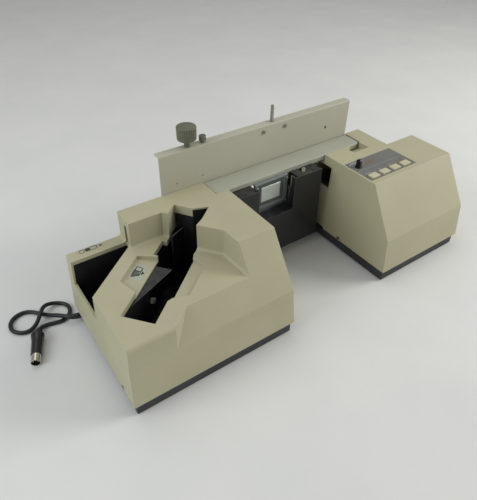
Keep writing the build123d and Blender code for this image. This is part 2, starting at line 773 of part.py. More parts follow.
def gate_plate():
    """Fixed back plate of the gate with four guide pins for the pressure frame."""
    front = gate_y + film_gap
    plate = block(gate_left, gate_right, front, front + plate_thick, notch_floor, gate_top)
    plate -= gate_frame(0.1, front - 5, front + 10)
    for x, z in guide_pins:
        plate += rod_y(x, gate_y - frame_thick - pressure_travel - 2.5, front, z, guide_pin_radius)
    return plate


def back_glass():
    front = gate_y + film_gap
    return gate_frame(0, front, front + plate_thick)


def pressure_frame():
    """Light metal frame that slides forward on the guide pins to free the film."""
    plate = block(gate_left, gate_right, gate_y - frame_thick, gate_y, gate_foot, gate_top)
    plate -= gate_frame(gate_rim, gate_y - 10, gate_y + 1) & block(
        gate_left + 2, gate_right, gate_y - 10, gate_y + 1, gate_foot + 2, gate_top - 2)
    for x, z in guide_pins:
        plate -= rod_y(x, gate_y - 10, gate_y + 1, z, guide_pin_radius + running)
    return plate


def glass_bezel():
    ring = gate_frame(gate_rim, gate_y - frame_thick, gate_y) & block(
        gate_left + 2.1, gate_right, gate_y - 10, gate_y + 1, gate_foot + 2.1, gate_top - 2.1)
    return ring - gate_frame(0.1, gate_y - 10, gate_y + 10)


def front_glass():
    glass = gate_frame(0, gate_y - frame_thick - 1, gate_y)
    return chamfer(glass.faces().sort_by(Axis.Y)[0].edges(), 0.8)


roller_places = [(notch_left - roller_out - roller_far, 1), (notch_left - roller_out, 0),
                 (notch_right + roller_out, 0), (notch_right + roller_out + roller_far, 1)]


def roller_top(tall):
    return gate_top - 4.5 + 8.0 * tall


def film_roller(x, tall):
    """A cream roller on an upright pin; the outer two stand taller."""
    low = compartment_floor + gap
    body = rod(x, roller_y, low, roller_top(tall), roller_radius)
    waist = rod(x, roller_y, low + 22, roller_top(tall) - 22, roller_radius + 1)
    waist -= rod(x, roller_y, low + 22, roller_top(tall) - 22, roller_radius - 0.35)
    return body - waist - rod(x, roller_y, low - 1, roller_top(tall) + 1, roller_pin_radius + running)


def roller_pins():
    pins = []
    for x, tall in roller_places:
        top = roller_top(tall)
        pins.append(rod(x, roller_y, compartment_floor, top + gap, roller_pin_radius)
                    + rod(x, roller_y, top + gap, top + gap + 0.8, 2.0))
    return together(pins)


def film_guides():
    """Grey angle strips that stand beside the gate, one each side."""
    strips = []
    for x, side in ((notch_right + 2.4, 1), (notch_left - 2.4, -1)):
        low = compartment_floor
        upright = block(min(x, x + 1.6 * side), max(x, x + 1.6 * side), gate_y - 9, gate_y, low, low + 48)
        foot = block(min(x, x + 1.6 * side), max(x, x + 1.6 * side), gate_y, gate_y + 10, low, low + 12)
        strips.append(upright + foot)
    return together(strips)


# ---------------------------------------------------------------- fence
flange_y = fence_y + fence_flange
fence_holes = [(fence_left + 25.7, fence_foot + 25.3, 1.25), (fence_left + 69.7, fence_foot + 25.3, 1.25),
               (right_edge + 35.5, fence_foot + 39.2, 2.25)]
guide_screw_places = (pin_x - 20.9, pin_x + 21.7)
guide_screw_z = fence_top - 10.0
guide_low = fence_top - 18.0
bush_low = fence_top - 10.0
knob_shaft_radius = 3.0
thumb_shaft_radius = 2.0


def fence_plate():
    """Upright sheet behind the cover, folded back along its top."""
    plate = block(fence_left, fence_right, fence_y, fence_y + fence_sheet, fence_foot, fence_top)
    plate += block(fence_left, fence_right, fence_y, flange_y, fence_top - fence_sheet, fence_top)
    bend = [edge for edge in plate.edges().filter_by(Axis.X) if abs((edge @ 0.5).Z - fence_top) < 0.01
            and abs((edge @ 0.5).Y - fence_y) < 0.01]
    plate = fillet(bend, fence_sheet * 0.8)
    for x, z, radius in fence_holes:
        plate -= rod_y(x, fence_y - 5, fence_y + 5, z, radius)
    for x in fence_screw_places:
        plate -= rod_y(x, fence_y - 5, fence_y + 5, fence_screw_z, 1.6)
    for x in guide_screw_places:
        plate -= rod_y(x, fence_y - 5, fence_y + 5, guide_screw_z, 1.6)
    for x, radius in ((knob_x, knob_shaft_radius), (thumb_x, thumb_shaft_radius), (pin_x, pin_radius)):
        plate -= rod(x, knob_y, fence_top - 5, fence_top + 5, radius + gap)
    return plate


def fence_screws():
    screws = []
    for x in fence_screw_places:
        screws.append(rod_y(x, fence_y + fence_sheet, fence_y + fence_sheet + 2.2, fence_screw_z, 3)
                      + rod_y(x, back_depth - 7, fence_y + fence_sheet, fence_screw_z, 1.5))
    return together(screws)


def guide_screws():
    screws = []
    for x in guide_screw_places:
        screws.append(rod_y(x, fence_y - 1.6, fence_y, guide_screw_z, 3)
                      + rod_y(x, fence_y, fence_y + 9, guide_screw_z, 1.5))
    return together(screws)


def pin_guide():
    """Block under the fence's flange in which the locating pin slides."""
    shape = block(guide_screw_places[0] - 5, guide_screw_places[1] + 5, fence_y + fence_sheet, flange_y - 1,
                  guide_low, fence_top - fence_sheet)
    for x in guide_screw_places:
        shape -= rod_y(x, fence_y, fence_y + 10, guide_screw_z, 1.6)
    return shape - rod(pin_x, knob_y, guide_low - 1, fence_top, pin_radius + running)


def locating_pin():
    pin = rod(pin_x, knob_y, guide_low - 4, pin_top, pin_radius)
    pin = chamfer(pin.edges().sort_by(Axis.Z)[-1], 0.8)
    return pin + rod(pin_x, knob_y, guide_low - gap - 1.2, guide_low - gap, pin_radius + 1.5)


def flange_bushes():
    """Bushes under the flange for the two turning knobs."""
    large = rod(knob_x, knob_y, bush_low, fence_top - fence_sheet, 5.4)
    large -= rod(knob_x, knob_y, bush_low - 1, fence_top, knob_shaft_radius + running)
    small = rod(thumb_x, knob_y, bush_low, fence_top - fence_sheet, 4.5)
    small -= rod(thumb_x, knob_y, bush_low - 1, fence_top, thumb_shaft_radius + running)
    return together([large, small])


def adjusting_knob():
    """Large knob on a stem, held under its bush by a ring."""
    head = Pos(knob_x, knob_y, (knob_low + knob_top) / 2) * Cone(knob_radius - 0.4, knob_radius, knob_top - knob_low)
    head = fillet(head.edges().filter_by(GeomType.CIRCLE), 1.2)
    for index in range(knob_flutes):
        angle = 2 * pi * index / knob_flutes
        head -= rod(knob_x + (knob_radius + 0.5) * cos(angle), knob_y + (knob_radius + 0.5) * sin(angle),
                    knob_low - 1, knob_top + 1, 1.2)
    stem = rod(knob_x, knob_y, fence_top + gap, knob_low, 4.5)
    shaft = rod(knob_x, knob_y, bush_low - gap - 2, knob_low, knob_shaft_radius)
    ring = rod(knob_x, knob_y, bush_low - gap - 1.2, bush_low - gap, knob_shaft_radius + 1.6)
    return head + stem + shaft + ring


def thumb_knob():
    head = rod(thumb_x, knob_y, thumb_low, thumb_top, thumb_radius)
    head = chamfer(head.edges(), 0.6)
    collar = rod(thumb_x, knob_y, fence_top + gap, thumb_low, 3)
    shaft = rod(thumb_x, knob_y, bush_low - gap - 2, thumb_low, thumb_shaft_radius)
    ring = rod(thumb_x, knob_y, bush_low - gap - 1.2, bush_low - gap, thumb_shaft_radius + 1.6)
    return head + collar + shaft + ring


# ---------------------------------------------------------------- cover
def cover_plan(inset):
    points = [(cover_left + inset, cover_front + inset), (cover_right - inset, cover_front + inset),
              (cover_right - inset, hinge_y + inset), (cover_left + inset, hinge_y + inset)]
    face = Polygon(*points, align=None)
    corners = face.vertices().sort_by(Axis.Y)[:2].sort_by(Axis.X)
    face = fillet(corners[1], 7.0 - inset)
    corner = face.vertices().sort_by(Axis.X)[:2].sort_by(Axis.Y)[0]
    return fillet(corner, 3.0 - inset)


def gate_cover():
    """Folded sheet cover: flat top, front lip and ends, rolled round the hinge pin at the back."""
    shape = raised(cover_plan(0), cover_lip, cover_top)
    front = [edge for edge in shape.edges() if abs((edge @ 0.5).Z - cover_top) < 0.01
             and (edge @ 0.5).Y < hinge_y - 1]
    shape = fillet(front, 1.4)
    shape -= raised(cover_plan(cover_sheet), cover_lip - 1, cover_top - cover_sheet)
    shape -= block(cover_left - 1, cover_right + 1, hinge_y - 4.5, hinge_y + 1, cover_lip - 1, cover_top - cover_sheet)
    curl = rod_x(cover_left, cover_right, hinge_y, hinge_z, curl_radius)
    shape += curl
    shape -= rod_x(cover_left - 1, cover_right + 1, hinge_y, hinge_z, hinge_pin_radius + running)
    for x in hinge_ears:
        half = ear_width / 2 + gap
        shape -= block(x - half, x + half, hinge_y - 5.5, hinge_y + 10, cover_lip - 1, hinge_z + 1)
    return shape


def cover_hinge_pin():
    return rod_x(hinge_ears[0] - 14, hinge_ears[-1] + 14, hinge_y, hinge_z, hinge_pin_radius)


# ---------------------------------------------------------------- control panel and its parts
panel_low = top_height - panel_recess
panel_top = panel_low + panel_thick
board_top = top_height - 14.8
board_thick = 1.6
flange_thick = 1.2
plate_low = panel_low - 1.8
key_gap = 0.9                 # dark line round each key
key_flange = 2.4
button_foot = board_top + 4.5
board_posts = [(panel_left + 6, panel_back - 5), (panel_right - 6, panel_back - 5),
               (panel_left + 6, panel_front + 26), (panel_right - 6, panel_front + 26)]


def control_panel():
    plate = panel_block(-0.15, panel_low, panel_top)
    for index in range(button_count):
        x = button_centre(index)
        plate -= block(x - button_width / 2 - key_gap, x + button_width / 2 + key_gap,
                       button_y - button_depth / 2 - key_gap, button_y + button_depth / 2 + key_gap,
                       panel_low - 1, panel_top + 1)
    plate -= rod(lever_x, lever_y, panel_low - 1, panel_top + 1, lever_neck + gap)
    return plate - block(window_left - 0.1, window_left + window_width + 0.1, window_front - 0.1,
                         window_front + window_depth + 0.1, panel_low - 1, panel_top + 1)


def counter_window():
    return block(window_left, window_left + window_width, window_front, window_front + window_depth,
                 panel_low, panel_top)


def push_button(index):
    """Square key with a flange that stops it under the top plate and a stem over its switch."""
    x = button_centre(index)
    cap = block(x - button_width / 2, x + button_width / 2, button_y - button_depth / 2,
                button_y + button_depth / 2, plate_low - gap, top_height + button_proud)
    cap = fillet(cap.faces().sort_by(Axis.Z)[-1].edges(), 0.8)
    flange = block(x - button_width / 2 - key_flange, x + button_width / 2 + key_flange,
                   button_y - button_depth / 2 - key_flange, button_y + button_depth / 2 + key_flange, plate_low - gap - flange_thick, plate_low - gap)
    return cap + flange + rod(x, button_y, button_foot, plate_low - gap - flange_thick, 3)


def speed_lever():
    """Upright paddle on a round foot, on a spindle that turns in its switch."""
    paddle = block(lever_x - 1.8, lever_x + 1.8, lever_y - 4.2, lever_y + 4.2, panel_top + gap, panel_top + lever_height)
    paddle = fillet(paddle.edges().filter_by(Axis.X).sort_by(Axis.Z)[-2:], 3.0)
    foot = rod(lever_x, lever_y, panel_top + gap, panel_top + gap + 1.4, 5.6)
    neck = rod(lever_x, lever_y, plate_low - gap, panel_top + gap, lever_neck)
    flange = rod(lever_x, lever_y, plate_low - gap - flange_thick, plate_low - gap, lever_neck + 1.5)
    stem = rod(lever_x, lever_y, board_top + 2.5, plate_low - gap, 2)
    return paddle + foot + neck + flange + stem


def control_board():
    """Board under the panel with four switches, the lever's switch and the frame counter."""
    board = block(panel_left + 3, panel_right - 3, panel_front - 3, panel_back - 1, board_top - board_thick, board_top)
    return board


def board_switches():
    switches = []
    for index in range(button_count):
        x = button_centre(index)
        switches.append(block(x - 3, x + 3, button_y - 3, button_y + 3, board_top, button_foot - button_travel - gap))
    lever_switch = block(lever_x - 7, lever_x + 7, lever_y - 7, lever_y + 7, board_top, board_top + 6)
    switches.append(lever_switch - rod(lever_x, lever_y, board_top + 2, board_top + 7, 2 + running))
    return together(switches)


def frame_counter():
    x = window_left + window_width / 2
    y = window_front + window_depth / 2
    body = block(x - 8, x + 8, y - 4, y + 4, board_top, plate_low - 0.5)
    return body


# ---------------------------------------------------------------- take-up drive
deck_legs = [(right_edge + 26, 36.0), (overall_width - 24, 30.0), (overall_width - 26, 100.0),
             (right_edge + 36, 170.0), (right_edge + 98, 170.0)]
reel_low = reel_middle - film_width / 2 - 0.6 - reel_flange
reel_high = reel_middle + film_width / 2 + 0.6 + reel_flange
pulley_low = deck_plate + deck_sheet + 1.5


def takeup_deck():
    """Steel deck on five legs that carries the take-up spindle and its motor."""
    low = deck_plate
    top = deck_plate + deck_sheet
    plate = block(right_edge + 10, overall_width - 12, 22, step_y - 6, low, top)
    plate += block(right_edge + 10, step_x - 8, step_y - 6, back_depth - 8, low, top)
    for x, y in deck_legs:
        plate += rod(x, y, tray_inside, low, 4)
    plate += rod(reel_x, reel_y, low - 8, low, 9)
    plate -= rod(reel_x, reel_y, low - 10, top + 1, takeup_shaft_radius + running)
    return plate - rod(motor_x, motor_y, low - 1, top + 1, 4)


def takeup_shaft():
    """Spindle with its pulley and the seat for the reel."""
    shaft = rod(reel_x, reel_y, deck_plate - 10, board_top - board_thick - 1.2, takeup_shaft_radius)
    pulley = rod(reel_x, reel_y, pulley_low, pulley_low + pulley_height, takeup_pulley_radius)
    seat = rod(reel_x, reel_y, pulley_low + pulley_height, reel_low, 9)
    thrust = rod(reel_x, reel_y, deck_plate + deck_sheet + gap, pulley_low, 7)
    return shaft + pulley + seat + thrust


def takeup_reel():
    """Film reel: hub and two flanges with three windows each."""
    hub = rod(reel_x, reel_y, reel_low, reel_high, 15)
    reel = hub + rod(reel_x, reel_y, reel_low, reel_low + reel_flange, reel_radius)
    reel += rod(reel_x, reel_y, reel_high - reel_flange, reel_high, reel_radius)
    for index in range(3):
        angle = 2 * pi * index / 3
        x = reel_x + 28 * cos(angle)
        y = reel_y + 28 * sin(angle)
        reel -= rod(x, y, reel_low - 1, reel_high + 1, 8)
    return reel - rod(reel_x, reel_y, reel_low - 1, reel_high + 1, takeup_shaft_radius + running)


def takeup_motor():
    body = rod(motor_x, motor_y, deck_plate - motor_length, deck_plate, motor_radius)
    body = fillet(body.edges().sort_by(Axis.Z)[0], 3)
    return body - rod(motor_x, motor_y, deck_plate - 12, deck_plate + 1, motor_shaft_radius + running)


def motor_pulley():
    shaft = rod(motor_x, motor_y, deck_plate - 11, pulley_low, motor_shaft_radius)
    return shaft + rod(motor_x, motor_y, pulley_low, pulley_low + pulley_height, motor_pulley_radius)


def belt_outline(grow):
    """Outline of a belt round both pulleys: the hull of two discs."""
    big = Pos(reel_x, reel_y) * Circle(takeup_pulley_radius + grow)
    small = Pos(motor_x, motor_y) * Circle(motor_pulley_radius + grow)
    return make_hull(big.edges() + small.edges())


def drive_belt():
    band = belt_outline(0.05 + belt_thick) - belt_outline(0.05)
    return raised(band, pulley_low + 1, pulley_low + pulley_height - 1)


# ---------------------------------------------------------------- supply drive
def supply_motor():
    """Small motor that lies across the slot between the bracket's plates."""
    body = across_rod(spindle_along, supply_motor_height, bearing_places[0] + 1.5, gear_across - 6, 13)
    return body - across_rod(spindle_along, supply_motor_height, gear_across - 14, gear_across, 1.5 + running)


def supply_pinion():
    shaft = across_rod(spindle_along, supply_motor_height, gear_across - 12, gear_across + 3, 1.5)
    turn = Rot(0, 0, 180 / pinion_teeth)
    return shaft + across_plane(spindle_along, supply_motor_height, gear_across) * turn * gear(pinion_teeth, 0.5, gear_face)


# ---------------------------------------------------------------- cord and plug
gland_radius = 4.75
gland_nose = 0.4


def cord_gland():
    """Bush in the tray's left wall that the cord comes out of."""
    nose = rod_x(gland_nose, tray_inset, cord_exit_y, cord_exit_z, gland_radius)
    sleeve = rod_x(tray_inset, tray_inset + tray_wall + 3, cord_exit_y, cord_exit_z, gland_radius - 0.8)
    return nose + sleeve


def corner_radii(points):
    """0.45 of the shorter run at each corner, divided by the tangent of half the turn."""
    radii = []
    for before, corner, after in zip(points, points[1:], points[2:]):
        run_in = Vector(*corner) - Vector(*before)
        run_out = Vector(*after) - Vector(*corner)
        turn = radians(run_in.get_angle(run_out))
        radii.append(0.45 * min(run_in.length, run_out.length) / tan(turn / 2))
    return radii


def cord():
    radii = corner_radii(cord_route)
    print("cord radii", " ".join(f"{radius:.1f}" for radius in radii))
    path = FilletPolyline(*cord_route, radius=radii)
    section = Plane(origin=path @ 0, z_dir=path % 0) * Circle(cord_diameter / 2)
    tube = sweep(section, path=path)
    expected = pi * cord_diameter ** 2 / 4 * path.length
    print(f"cord length {path.length:.1f}, volume {tube.volume:.0f} of {expected:.0f}")
    return tube


def plug_plane():
    """The plug's axis: along the cord's last run, dipping so that its shell rests on the table."""
    end = Vector(*cord_route[-1])
    before = Vector(*cord_route[-2])
    heading = end - before
    flat = Vector(heading.X, heading.Y, 0).normalized()
    direction = (flat + Vector(0, 0, -plug_dip)).normalized()
    return Plane(origin=end, z_dir=direction)


def turned(profile):
    """A turned piece on the plug's axis; the profile gives radius and distance."""
    face = make_face(Polyline(*[(radius, 0, place) for radius, place in profile], close=True))
    return plug_plane() * revolve(face, axis=Axis.Z)


def plug_body():
    profile = [(0, 0), (plug_flare - 2.6, 0), (plug_flare, 1.6), (plug_flare, 3.4), (plug_radius + 1.2, 14),
               (plug_radius + 0.8, plug_length), (plug_radius + 0.01, plug_length), (plug_radius + 0.01, plug_length - 8),
               (0, plug_length - 8)]
    return turned(profile)


def plug_shell():
    inner = plug_radius - 0.7
    low = plug_length - 8
    high = plug_length + plug_shell_length
    return turned([(inner, low), (plug_radius, low), (plug_radius, high), (inner, high)])


def plug_insert():
    low = plug_length - 8
    return turned([(0, low), (plug_radius - 0.72, low), (plug_radius - 0.72, plug_length + 3), (0, plug_length + 3)])


def plug_pins():
    pins = []
    for index in range(5):
        angle = radians(-90 + 45 * (index - 2))
        place = Pos(3.5 * cos(angle), 3.5 * sin(angle), plug_length + 3 + pin_length / 2 - 0.5)
        pins.append(plug_plane() * place * Cylinder(0.72, pin_length - 1))
    return together(pins)


def main():
    os.makedirs("parts", exist_ok=True)
    save(supply_housing(), "supply_housing")
    save(tray(supply_outline(), supply_posts, (tray_inset, supply_screw_y), left_width)
         - rod_x(0, 20, cord_exit_y, cord_exit_z, gland_radius - 0.8), "supply_base_tray")
    save(feet(supply_feet), "supply_feet")
    save(shell_screws(supply_posts, 0, supply_screw_y), "supply_screws")
    save(slot_liner(), "slot_liner")
    save(threading_shelf(), "threading_shelf")
    save(threading_guide(), "threading_guide")
    save(bay_liner(), "bay_liner")
    save(supply_spindle(), "supply_spindle")
    save(spindle_bracket(), "spindle_bracket")
    save(supply_motor(), "supply_motor")
    save(supply_pinion(), "supply_pinion")

    save(bridge_chassis(), "bridge_chassis")
    save(gate_plate(), "gate_plate")
    save(back_glass(), "back_glass")
    save(pressure_frame(), "pressure_frame")
    save(glass_bezel(), "glass_bezel")
    save(front_glass(), "front_glass")
    for index, (x, tall) in enumerate(roller_places):
        save(film_roller(x, tall), f"film_roller_{index + 1}")
    save(roller_pins(), "roller_pins")
    save(film_guides(), "film_guides")

    save(fence_plate(), "fence_plate")
    save(fence_screws(), "fence_screws")
    save(pin_guide(), "pin_guide")
    save(guide_screws(), "guide_screws")
    save(locating_pin(), "locating_pin")
    save(flange_bushes(), "flange_bushes")
    save(adjusting_knob(), "adjusting_knob")
    save(thumb_knob(), "thumb_knob")
    save(gate_cover(), "gate_cover")
    save(cover_hinge_pin(), "cover_hinge_pin")

    save(takeup_housing(), "takeup_housing")
    save(tray(takeup_outline(), takeup_posts, (right_edge + tray_inset, takeup_screw_y), right_edge), "takeup_base_tray")
    save(feet(takeup_feet), "takeup_feet")
    save(shell_screws(takeup_posts, right_edge, takeup_screw_y), "takeup_screws")
    save(control_panel(), "control_panel")
    save(counter_window(), "counter_window")
    for index in range(button_count):
        save(push_button(index), f"push_button_{index + 1}")
    save(speed_lever(), "speed_lever")
    save(control_board(), "control_board")
    save(board_switches(), "board_switches")
    save(frame_counter(), "frame_counter")
    save(takeup_deck(), "takeup_deck")
    save(takeup_shaft(), "takeup_shaft")
    save(takeup_reel(), "takeup_reel")
    save(takeup_motor(), "takeup_motor")
    save(motor_pulley(), "motor_pulley")
    save(drive_belt(), "drive_belt")

    save(cord_gland(), "cord_gland")
    save(cord(), "cord")
    save(plug_body(), "plug_body")
    save(plug_shell(), "plug_shell")
    save(plug_insert(), "plug_insert")
    save(plug_pins(), "plug_pins")


main()
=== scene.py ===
# %% [markdown]
# # A roll-film carrier for a microform reader
# The carrier is two beige moulded housings joined by a black steel bridge. Film runs from a cartridge
# in the left housing, through a small glass gate in the bridge, to a take-up reel in the right one.
# Its exact shapes are packed from a CAD model, and this lesson gives them light, finish and print.
# We load that model first. Nothing in it is ever moved, so every later piece can be placed by number.

# %% Load the frame
import json
import math

import bpy
import numpy as np
from mathutils import Matrix, Vector


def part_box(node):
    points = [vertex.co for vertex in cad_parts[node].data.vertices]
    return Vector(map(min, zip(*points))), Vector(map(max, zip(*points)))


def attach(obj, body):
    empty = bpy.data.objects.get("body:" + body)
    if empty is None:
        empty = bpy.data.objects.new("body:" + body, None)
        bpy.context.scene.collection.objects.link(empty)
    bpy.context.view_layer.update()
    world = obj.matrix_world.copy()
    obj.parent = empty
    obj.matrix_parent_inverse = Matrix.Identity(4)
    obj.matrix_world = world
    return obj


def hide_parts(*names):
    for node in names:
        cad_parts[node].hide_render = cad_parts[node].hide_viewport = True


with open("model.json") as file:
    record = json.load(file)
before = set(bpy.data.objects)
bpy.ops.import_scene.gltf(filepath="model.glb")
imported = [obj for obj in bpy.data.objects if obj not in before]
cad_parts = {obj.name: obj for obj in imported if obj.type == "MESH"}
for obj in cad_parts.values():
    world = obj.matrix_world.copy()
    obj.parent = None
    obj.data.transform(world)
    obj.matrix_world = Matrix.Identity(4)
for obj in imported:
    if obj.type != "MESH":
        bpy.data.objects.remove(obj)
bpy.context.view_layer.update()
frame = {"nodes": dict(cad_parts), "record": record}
nodes = frame["nodes"]

# %% [markdown]
# The drawings of this carrier count millimetres from the left edge of the left foot, from the front
# crease and from the table. Blender works in metres around the middle of the object. One small
# function turns the first into the second, so that a size can be read off a drawing and given as it is.

# %% Places in millimetres
drawing_origin = np.array([312.0, 106.65, 0.0])


def at(points):
    """Drawing places in mm to scene places in m: subtract the origin, divide by a thousand."""
    return (np.asarray(points, float) - drawing_origin) / 1000.0


slot_corner = np.array([21.3, 53.1])
slot_turn = math.radians(40.0)


def in_slot(along, across):
    """Places along and across the diagonal slot to drawing x, y: corner + turned(along, -across)."""
    along, across = np.asarray(along, float), np.asarray(across, float)
    x = slot_corner[0] + along * math.cos(slot_turn) + across * math.sin(slot_turn)
    y = slot_corner[1] + along * math.sin(slot_turn) - across * math.cos(slot_turn)
    return x, y


# %% [markdown]
# ## Camera
# The picture was taken from the front left, looking down by some 38 degrees. Straight edges of the
# object that run to common vanishing points fix the lens and the turn of the camera. We build the
# camera's three axes ourselves, because a roll of one degree is easier to give that way than by Euler
# angles.

# %% Camera
picture_width, picture_height = 477, 500
lens_pixels = 489.93
view_yaw, view_pitch, view_roll = (math.radians(a) for a in (35.126, 37.804, 0.973))
camera_place = Vector((-0.407385, -0.457100, 0.555616))
optical_centre = (236.94, 232.14)

looking = Vector((math.sin(view_yaw) * math.cos(view_pitch), math.cos(view_yaw) * math.cos(view_pitch),
                  -math.sin(view_pitch)))
level_right = Vector((math.cos(view_yaw), -math.sin(view_yaw), 0.0))
level_up = level_right.cross(looking)
right = level_right * math.cos(view_roll) + level_up * math.sin(view_roll)
up = level_up * math.cos(view_roll) - level_right * math.sin(view_roll)

camera_data = bpy.data.cameras.new("camera")
camera = bpy.data.objects.new("camera", camera_data)
bpy.context.scene.collection.objects.link(camera)
camera.matrix_world = Matrix.Translation(camera_place) @ Matrix((right, up, -looking)).transposed().to_4x4()
camera_data.sensor_fit = "AUTO"
camera_data.sensor_width = 36.0
camera_data.lens = lens_pixels / picture_height * camera_data.sensor_width
camera_data.shift_x = (picture_width / 2 - optical_centre[0]) / picture_height
camera_data.shift_y = (optical_centre[1] - picture_height / 2) / picture_height
camera_data.clip_start = 0.01
bpy.context.scene.camera = camera
print("lens", round(camera_data.lens, 2), "mm")

# %% [markdown]
# ## Lead
# A soft round lead leaves the left housing near its back corner, crosses itself twice and ends in a
# round plug that lies on the table. A real lead is one length of something flexible, so it is one
# smooth curve here. Its control points are the corners of the route, and a NURBS spline of order
# three glides past them.

# %% Lead
lead_thick = 6.1
on_table = lead_thick / 2 + 0.05
lead_route = [
    (0.4, 187.5, 10.5), (-9.0, 189.5, 11.2), (-18.0, 197.0, 11.4), (-27.0, 206.5, 10.6),
    (-36.0, 217.8, 5.2), (-45.5, 230.5, on_table), (-57.6, 244.3, on_table), (-70.4, 247.5, on_table),
    (-82.7, 242.6, on_table), (-89.9, 231.4, on_table), (-89.1, 218.2, on_table), (-80.7, 207.9, on_table),
    (-67.9, 204.5, on_table), (-55.5, 209.2, 7.6), (-46.0, 222.5, 11.4), (-38.0, 235.1, 11.2),
    (-26.4, 239.8, 6.4), (-14.2, 236.7, on_table), (-5.9, 227.2, on_table), (-4.7, 214.8, on_table),
    (-10.9, 203.7, on_table), (-22.2, 198.4, on_table), (-32.5, 200.2, on_table), (-41.0, 203.2, on_table),
    (-49.2, 202.6, 3.8), (-55.8, 198.0, 6.0), (-59.4, 190.8, 8.6), (-60.9, 186.8, 9.4),
]


def soft_line(name, places, thick):
    """A round tube on one open NURBS spline of order three.

    The bevel is one metre deep and each point's radius scales it to half the thickness, so that the
    object's box, which counts the radii, stays as small as the tube.
    """
    data = bpy.data.curves.new(name, "CURVE")
    data.dimensions = "3D"
    data.bevel_depth = 1.0
    data.bevel_resolution = 6
    data.resolution_u = 8
    data.use_fill_caps = True
    spline = data.splines.new("NURBS")
    spline.points.add(len(places) - 1)
    weighted = np.column_stack([places, np.ones(len(places))]).astype(np.float32)
    spline.points.foreach_set("co", weighted.ravel())
    spline.points.foreach_set("radius", np.full(len(places), thick / 2, np.float32))
    spline.order_u = 3
    spline.use_endpoint_u = True
    line = bpy.data.objects.new(name, data)
    bpy.context.scene.collection.objects.link(line)
    return line


lead = soft_line("lead", at(lead_route), lead_thick / 1000)
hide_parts("cord")
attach(lead, "root")


def centre_line(curve):
    """The places that a curve object's own line runs through, read from a copy without its bevel."""
    bare = curve.copy()
    bare.data = curve.data.copy()
    bare.data.bevel_depth = 0
    mesh = bpy.data.meshes.new_from_object(bare)
    places = np.empty(len(mesh.vertices) * 3)
    mesh.vertices.foreach_get("co", places)
    bpy.data.meshes.remove(mesh)
    bpy.data.objects.remove(bare)
    return places.reshape(-1, 3)


lead_line = centre_line(lead)

# %% [markdown]
# ## Building surfaces
# Most new pieces are grids: two parameters run over a rectangle and a formula says where each point
# lies. The faces of such a grid always join the same four neighbours, so one function serves them all.

# %% Mesh helpers
def new_piece(name, places, faces, finish, body="root", smooth=False):
    """A mesh object from arrays of places (m) and faces, riding on a body of the frame."""
    mesh = bpy.data.meshes.new(name)
    mesh.from_pydata(np.asarray(places, float).tolist(), [], faces)
    mesh.update()
    if smooth:
        mesh.shade_smooth()
    piece = bpy.data.objects.new(name, mesh)
    bpy.context.scene.collection.objects.link(piece)
    if finish is not None:
        mesh.materials.append(finish)
    if body:
        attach(piece, body)
    return piece


def grid_faces(rows, columns, wrap_columns=False):
    """Corner numbers of the squares between neighbouring rows and columns of a grid."""
    row, column = np.meshgrid(np.arange(rows - 1), np.arange(columns if wrap_columns else columns - 1),
                              indexing="ij")
    after = (column + 1) % columns
    corners = np.stack([row * columns + column, row * columns + after, (row + 1) * columns + after,
                        (row + 1) * columns + column], -1)
    return corners.reshape(-1, 4).tolist()


def slab(outline, low, high):
    """A flat closed slab: an outline (x, y in mm, anticlockwise) between two arrays of heights."""
    outline = np.asarray(outline, float)
    count = len(outline)
    low, high = np.broadcast_to(low, count), np.broadcast_to(high, count)
    places = at(np.vstack([np.column_stack([outline, low]), np.column_stack([outline, high])]))
    ring = np.arange(count)
    after = (ring + 1) % count
    sides = np.stack([ring, after, after + count, ring + count], -1).tolist()
    return places, [ring[::-1].tolist(), (ring + count).tolist()] + sides


def join_slabs(slabs):
    """Several slabs as one list of places and faces, each one's corner numbers shifted along."""
    places, faces, start = [], [], 0
    for part, corners in slabs:
        places.append(part)
        faces += [[index + start for index in face] for face in corners]
        start += len(part)
    return np.vstack(places), faces


def tube_along(path, radii, around=20):
    """A closed tube: circles of given radii stand square to a path, and caps shut both ends."""
    path, radii = np.asarray(path, float), np.asarray(radii, float)
    ahead = np.gradient(path, axis=0)
    ahead /= np.linalg.norm(ahead, axis=1)[:, None]
    side = np.cross(ahead, (0.0, 0.0, 1.0))
    side /= np.linalg.norm(side, axis=1)[:, None]
    over = np.cross(side, ahead)
    angle = np.linspace(0, 2 * math.pi, around, endpoint=False)
    ring = side[:, None] * np.cos(angle)[None, :, None] + over[:, None] * np.sin(angle)[None, :, None]
    places = (path[:, None] + ring * radii[:, None, None]).reshape(-1, 3)
    last = (len(path) - 1) * around
    faces = grid_faces(len(path), around, wrap_columns=True)
    return places, faces + [list(range(around))[::-1], [last + i for i in range(around)]]


# %% [markdown]
# ## Shader groups
# Paint, plastic and steel all share a few effects: a fine grain, slow patches where hands and cleaning
# have changed the surface, and edges that have rubbed bright. Each effect is one node group with named
# sockets, so that a material is only a short list of amounts. The groups put out masks, heights and
# normals, and the shader itself stays in the material.

# %% Shader helpers
def tone(red, green, blue):
    """A colour as a screen shows it, 0 to 255, as the linear light a shader counts with."""
    value = np.array([red, green, blue]) / 255.0
    return (*np.where(value <= 0.04045, value / 12.92, ((value + 0.055) / 1.055) ** 2.4), 1.0)


def add(tree, kind, inputs=None, **settings):
    """A node with its settings made and its inputs filled: a socket is linked, a value is set."""
    node = tree.nodes.new("ShaderNode" + kind)
    for key, value in settings.items():
        setattr(node, key, value)
    for key, value in (inputs or {}).items():
        if isinstance(value, bpy.types.NodeSocket):
            tree.links.new(value, node.inputs[key])
        else:
            node.inputs[key].default_value = value
    return node


